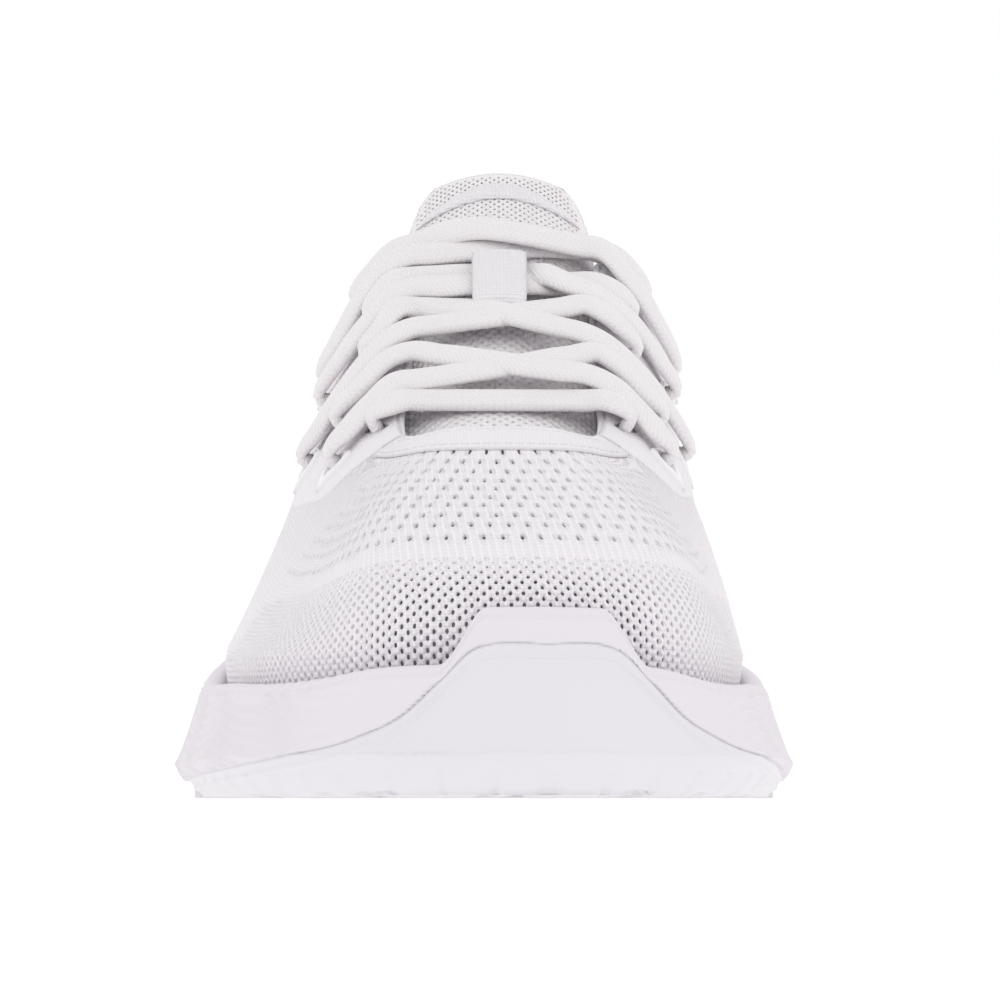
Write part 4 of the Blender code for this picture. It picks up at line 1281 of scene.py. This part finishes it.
def make_tongue():
    """A padded body, and over it the mesh face with its small holes."""
    columns, rows = 72, 130
    turn = whole_turn(columns)
    across = squarer(np.cos(turn), 0.75)
    level = 0.5 + 0.5 * squarer(np.sin(turn), 0.75)
    rings = []
    for along in np.linspace(0, 1, rows):
        ends = np.sqrt(np.clip(1 - max(0, (along - 0.955) / 0.045) ** 2, 0.0, 1)) * 0.96 + 0.04
        thick = (6.9 * (1 - 0.45 * across**2)) * (0.42 + 0.58 * smoothstep(0, 0.35, along)) * ends
        depth = -0.75 - (1 - ends) * 3.0 - thick * (1 - level)
        rings.append(tongue_top(across, np.full(columns, along), depth))
    climb = np.linspace(0, TONGUE_LENGTH, rows)
    weave = np.stack([np.tile(across * 20, rows), np.repeat(climb, columns)], -1)
    points, faces = np.concatenate(rings), tube_faces(rows, columns)
    pad = make_piece("tongue_padding", points, faces, "lining", weave, tidy=False)
    puff(pad, 0.5)
    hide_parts("tongue_foam", "tongue_lining")
    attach(pad, "tongue")

    scale = (21.0, TONGUE_LENGTH)
    groups = []
    for start, stop, rise, pitch, reach, halves in (
        (0.05, 0.80, 1.25, 2.3, 0.9, (0.32, 0.34)),
        (0.80, 0.975, 0.95, 1.75, 0.93, (0.28, 0.30)),
    ):
        levels = np.arange(start, stop, rise / TONGUE_LENGTH)
        centres = lattice(tongue_top, scale, levels, pitch, reach)[:, :2]
        groups.append((centres, np.tile(halves, (len(centres), 1)), ellipse(6)))
    side, top = 0.985, 0.99
    u, v, faces = sheet_with_holes(tongue_top, ((-side, side), (0.0, top)), scale, (1.5, 1.6), groups)
    edge = rounded_edge((side - np.abs(u)) * 10, (top - v) * 45)
    points = tongue_top(u, v, -0.55 + 0.55 * edge)
    weave = running_lengths(tongue_top, (-1, 1), (0, 1))(u, v)
    face = make_piece("tongue_mesh_face", points, faces, "mesh", weave)
    thicken(face, 0.5)
    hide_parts("tongue_face")
    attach(face, "tongue")


def make_label():
    """Crescent patch under the tongue's top edge."""
    half = 0.86
    a, v = np.meshgrid(np.linspace(-half, half, 60), np.linspace(0, 1, 14))
    upper_edge = 0.952 - 0.085 * (a / half) ** 2
    lower_edge = 0.900 - 0.040 * (a / half) ** 2
    along = lower_edge + (upper_edge - lower_edge) * v
    edge = rounded_edge(np.minimum(v, 1 - v) * 8, (half - np.abs(a)) * 12)
    weave = np.stack([along * TONGUE_LENGTH, a * 14], -1)
    points = tongue_top(a, along, 0.15 + 0.55 * edge)
    obj = make_piece("tongue_crescent", points, grid_faces(14, 60), "webbing", weave)
    thicken(obj, 0.5)
    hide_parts("tongue_label")
    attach(obj, "tongue")


def make_keeper():
    """Webbing loop that the third pair of strands runs through."""
    length, width = 60, 13
    rise = KEEPER_RISE * (1 - np.abs(np.linspace(-1, 1, length)) ** 7)
    across = np.linspace(-1, 1, width)
    edge = 0.25 * (1 - np.abs(across) ** 8)
    rows, weave = [], []
    for k, along in enumerate(np.linspace(0.556, 0.711, length)):
        half = np.linalg.norm(tongue_outer(1.0, along) - tongue_outer(0.0, along))
        place = across * KEEPER_WIDTH / 2 / half
        rows.append(tongue(place, np.full(width, along), 0.85 + rise[k] + edge))
        weave.append(np.stack([np.full(width, k * 0.55), across * KEEPER_WIDTH / 2], -1))
    points, faces = np.concatenate(rows), grid_faces(length, width)
    obj = make_piece("keeper_webbing", points, faces, "webbing", np.concatenate(weave))
    thicken(obj, 0.85)
    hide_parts("lace_keeper")
    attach(obj, "tongue")


# ---------------------------------------------------------------- lace


def hole_place(hole):
    """A lace hole's (place, row) on the upper."""
    kind, number, side = hole
    place, row = (INNER_HOLES if kind == "inner" else OUTER_HOLES)[number]
    return np.array([side * place, row])


def at_hole(hole, proud):
    return upper(*hole_place(hole), proud)


def surface_tree(names):
    """The CAD's surface of some nodes, for rays to hit."""
    corners, faces = [], []
    for name in names:
        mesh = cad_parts[name].data
        start = len(corners)
        corners += [vertex.co.copy() for vertex in mesh.vertices]
        faces += [[start + i for i in polygon.vertices] for polygon in mesh.polygons]
    return BVHTree.FromPolygons(corners, faces)


def over_the_shoe(tree, start, over, end):
    """A strand pulled taut over the shoe: the upper hull of its route's profile."""
    first, last = at_hole(start, 2.6), at_hole(end, 2.6)
    route = [(first[0] - AXIS_X, first[1], 0.0), *over, (last[0] - AXIS_X, last[1], 0.0)]
    keys = running_distance(np.array(route)[:, :2])
    along = np.linspace(3.0, keys[-1] - 3.0, 26)
    points = []
    for aside, t, lift in smooth_curve(keys, route, along):
        above = Vector(to_world((AXIS_X + aside, t, 150))[0])
        place, normal, _, _ = tree.ray_cast(above, Vector((0, 0, -1)))
        height = 0.0
        if place:
            height = place.z / MM + (LACE_THICKNESS / 2 + 0.25 + lift) / max(normal.z, 0.45)
        points.append((AXIS_X + aside, t, height))
    points = np.array(points)
    hull = [0]
    for i in range(1, len(points)):
        while len(hull) > 1:
            (s0, z0), (s1, z1) = ((along[k], points[k, 2]) for k in hull[-2:])
            if (z1 - z0) * (along[i] - s0) > (points[i, 2] - z0) * (s1 - s0):
                break
            hull.pop()
        hull.append(i)
    points[:, 2] = np.interp(along, along[hull], points[hull, 2])
    return points[::2]


def lace_knots():
    """Points that the lace runs through, each with the lace's half width and half thickness."""
    nodes = ("tongue_face", "upper_knit", "eyestay_medial", "eyestay_lateral")
    tree = surface_tree(nodes)
    flat, gathered, inside = (LACE_WIDTH / 2, LACE_THICKNESS / 2), (2.35, 1.15), (1.9, 1.1)
    loose = (1.25, 1.2)
    depths = (-3.6, -1.0, 1.2, 2.8)

    def through(hole, heights):
        return [(*at_hole(hole, z), *(gathered if z > 0 else inside)) for z in heights]

    knots = [(*point, *loose) for point in tail(-1)[::-1]]
    for number, (start, end, over) in enumerate(STRANDS):
        knots += through(start, depths)
        knots += [(*point, *flat) for point in over_the_shoe(tree, start, over, end)]
        knots += through(end, depths[::-1])
        if number < len(STRANDS) - 1:
            middle = (hole_place(end) + hole_place(STRANDS[number + 1][0])) / 2
            knots.append((*upper(*middle, -3.5), *inside))
    return np.array(knots + [(*point, *loose) for point in tail(1)])


def tail(side):
    """A loose end, tucked down inside the quarter and forward along the insole."""
    route = [(0.612, 0.76, -5), (0.60, 0.66, -7), (0.58, 0.54, -8), (0.54, 0.44, -8.5),
             (0.49, 0.37, -8.5), (0.43, 0.34, -8.5), (0.37, 0.33, -8.5), (0.31, 0.33, -8.5)]
    return [upper(side * place, row, proud) for place, row, proud in route]


def make_lace():
    """A flat oval lace along the CAD's route, in two halves, lateral and medial."""
    knots = lace_knots()
    gaps = np.linalg.norm(np.diff(knots[:, :3], axis=0), axis=1)
    keys = np.concatenate([[0], np.cumsum(np.sqrt(gaps))])
    fine = smooth_curve(keys, knots, np.linspace(0, keys[-1], 12000))
    arc = running_distance(fine[:, :3])
    count = int(arc[-1] / 0.9)
    at = np.linspace(0, arc[-1], count)
    line = np.stack([np.interp(at, arc, fine[:, k]) for k in range(5)], axis=1)
    centre, half_width, half_thick = line[:, :3], line[:, 3], line[:, 4]
    ahead = unit(np.gradient(centre, axis=0))
    ridge = np.array(TONGUE_RIDGE, float)
    slope = np.gradient(ridge[:, 1], ridge[:, 0])
    steep = np.interp(centre[:, 1], ridge[:, 0], slope)
    wide = np.stack([np.zeros(count), np.ones(count), steep], -1)
    wide -= ahead * (wide * ahead).sum(1, keepdims=True)
    for _ in range(3):
        wide = (np.roll(wide, 1, 0) + wide + np.roll(wide, -1, 0)) / 3
    wide = unit(wide)
    flat = np.cross(ahead, wide)
    sides = 20
    turn = whole_turn(sides)
    aside = half_width[:, None] * squarer(np.cos(turn), 0.8)
    height = half_thick[:, None] * squarer(np.sin(turn), 0.9)
    rings = centre[:, None] + aside[..., None] * wide[:, None] + height[..., None] * flat[:, None]
    weave = np.stack([at[:, None] + np.abs(aside), aside], -1)
    medial = centre[:, 0] >= AXIS_X
    for side, word in ((-1, "lateral"), (1, "medial")):
        inside = medial if side == 1 else ~medial
        starts = np.flatnonzero(inside & ~np.roll(inside, 1))
        points, coords, faces = [], [], []
        for start in starts:
            stop = start
            while stop < count and inside[stop]:
                stop += 1
            overlap = int(side == -1)
            first, last = max(start - overlap, 0), min(stop + overlap, count)
            base = sum(len(p) for p in points) * sides
            points.append(rings[first:last])
            coords.append(weave[first:last])
            faces += grid_faces(last - first, sides, base, wrap=True)
            if start == 0:
                faces.append(tuple(range(base, base + sides)))
            if stop == count:
                end = base + (last - first - 1) * sides
                faces.append(tuple(range(end, end + sides)))
        points, coords = np.concatenate(points), np.concatenate(coords)
        obj = make_piece("lace_" + word, points, faces, "lace", coords, tidy=False)
        if side == 1:
            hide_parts("lace")
        edge, near = (((AXIS_X + side * reach - MIDDLE[0]) * MM, 0.0, 0.08) for reach in (22.0, 9.0))
        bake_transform(obj)
        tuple(edge)
        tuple(near)


# ---------------------------------------------------------------- studio


def aim(obj, target):
    obj.rotation_euler = (Vector(target) - obj.location).to_track_quat("-Z", "Y").to_euler()


def make_camera():
    """Straight on to the toe, pitched down a little."""
    camera = bpy.data.cameras.new("camera")
    camera.sensor_width = 36.0
    camera.lens = CAMERA_LENS
    obj = bpy.data.objects.new("camera", camera)
    obj.location = (AXIS_X * MM, CAD_BOX[0][1] - CAMERA_AHEAD, CAMERA_HEIGHT)
    aim(obj, Vector(obj.location) + Vector((0, 1, -CAMERA_FALL)))
    bpy.context.scene.collection.objects.link(obj)
    bpy.context.scene.camera = obj


def add_light(name, place, target, size, power):
    light = bpy.data.lights.new(name, "AREA")
    light.shape = "RECTANGLE"
    light.size, light.size_y = size
    light.energy = power
    obj = bpy.data.objects.new(name, light)
    obj.location = place
    aim(obj, target)
    bpy.context.scene.collection.objects.link(obj)


def make_studio():
    """White floor and sky with a broad top light, as for a catalogue picture."""
    scene = bpy.context.scene
    scene.view_settings.view_transform = "Standard"
    world = bpy.data.worlds.new("studio")
    world.use_nodes = True
    sky = world.node_tree.nodes["Background"]
    sky.inputs["Color"].default_value = (1, 1, 1, 1)
    sky.inputs["Strength"].default_value = 1.0
    scene.world = world
    mesh = bpy.data.meshes.new("floor")
    mesh.from_pydata([(-6, -6, 0), (6, -6, 0), (6, 6, 0), (-6, 6, 0)], [], [(0, 1, 2, 3)])
    floor = bpy.data.objects.new("floor", mesh)
    floor.location.z = CAD_BOX[0][2] - 0.0002
    made, _, shader = principled("floor_white", (0.3, 0.3, 0.3), 0.9)
    shader.inputs["Emission Color"].default_value = (1, 1, 1, 1)
    shader.inputs["Emission Strength"].default_value = 0.8
    mesh.materials.append(made)
    scene.collection.objects.link(floor)
    middle = (0, 0, 0.05)
    for name, place, size, watts in (
        ("top_light", (0.0, -0.15, 1.1), (1.2, 1.4), 0.6),
        ("front_light", (-0.5, -1.2, 0.75), (0.8, 0.8), 0.35),
        ("right_light", (1.0, -0.3, 0.5), (0.8, 0.8), 0.25),
    ):
        add_light(name, place, middle, size, watts)


# ---------------------------------------------------------------- assembly

MATERIALS = make_materials()
make_camera()
make_studio()
make_midsole()
make_toe_rubber()
make_tread_pads()
make_inner_layers()
make_upper()
make_mesh_backing()
make_eyestay("eyestay_band_medial", "eyestay_medial", 1)
make_eyestay("eyestay_band_lateral", "eyestay_lateral", -1)
make_lace_tabs()
make_throat_band()
make_binding()
make_collar()
make_heel_clip()
make_back_tape()
make_tongue()
make_label()
make_keeper()
make_lace()
for node, look in (
    ("toe_puff", "stiffener"),
    ("heel_counter", "stiffener"),
    ("aglet_left", "aglet"),
    ("aglet_right", "aglet"),
):
    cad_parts[node].material_slots[0].material = MATERIALS[look]
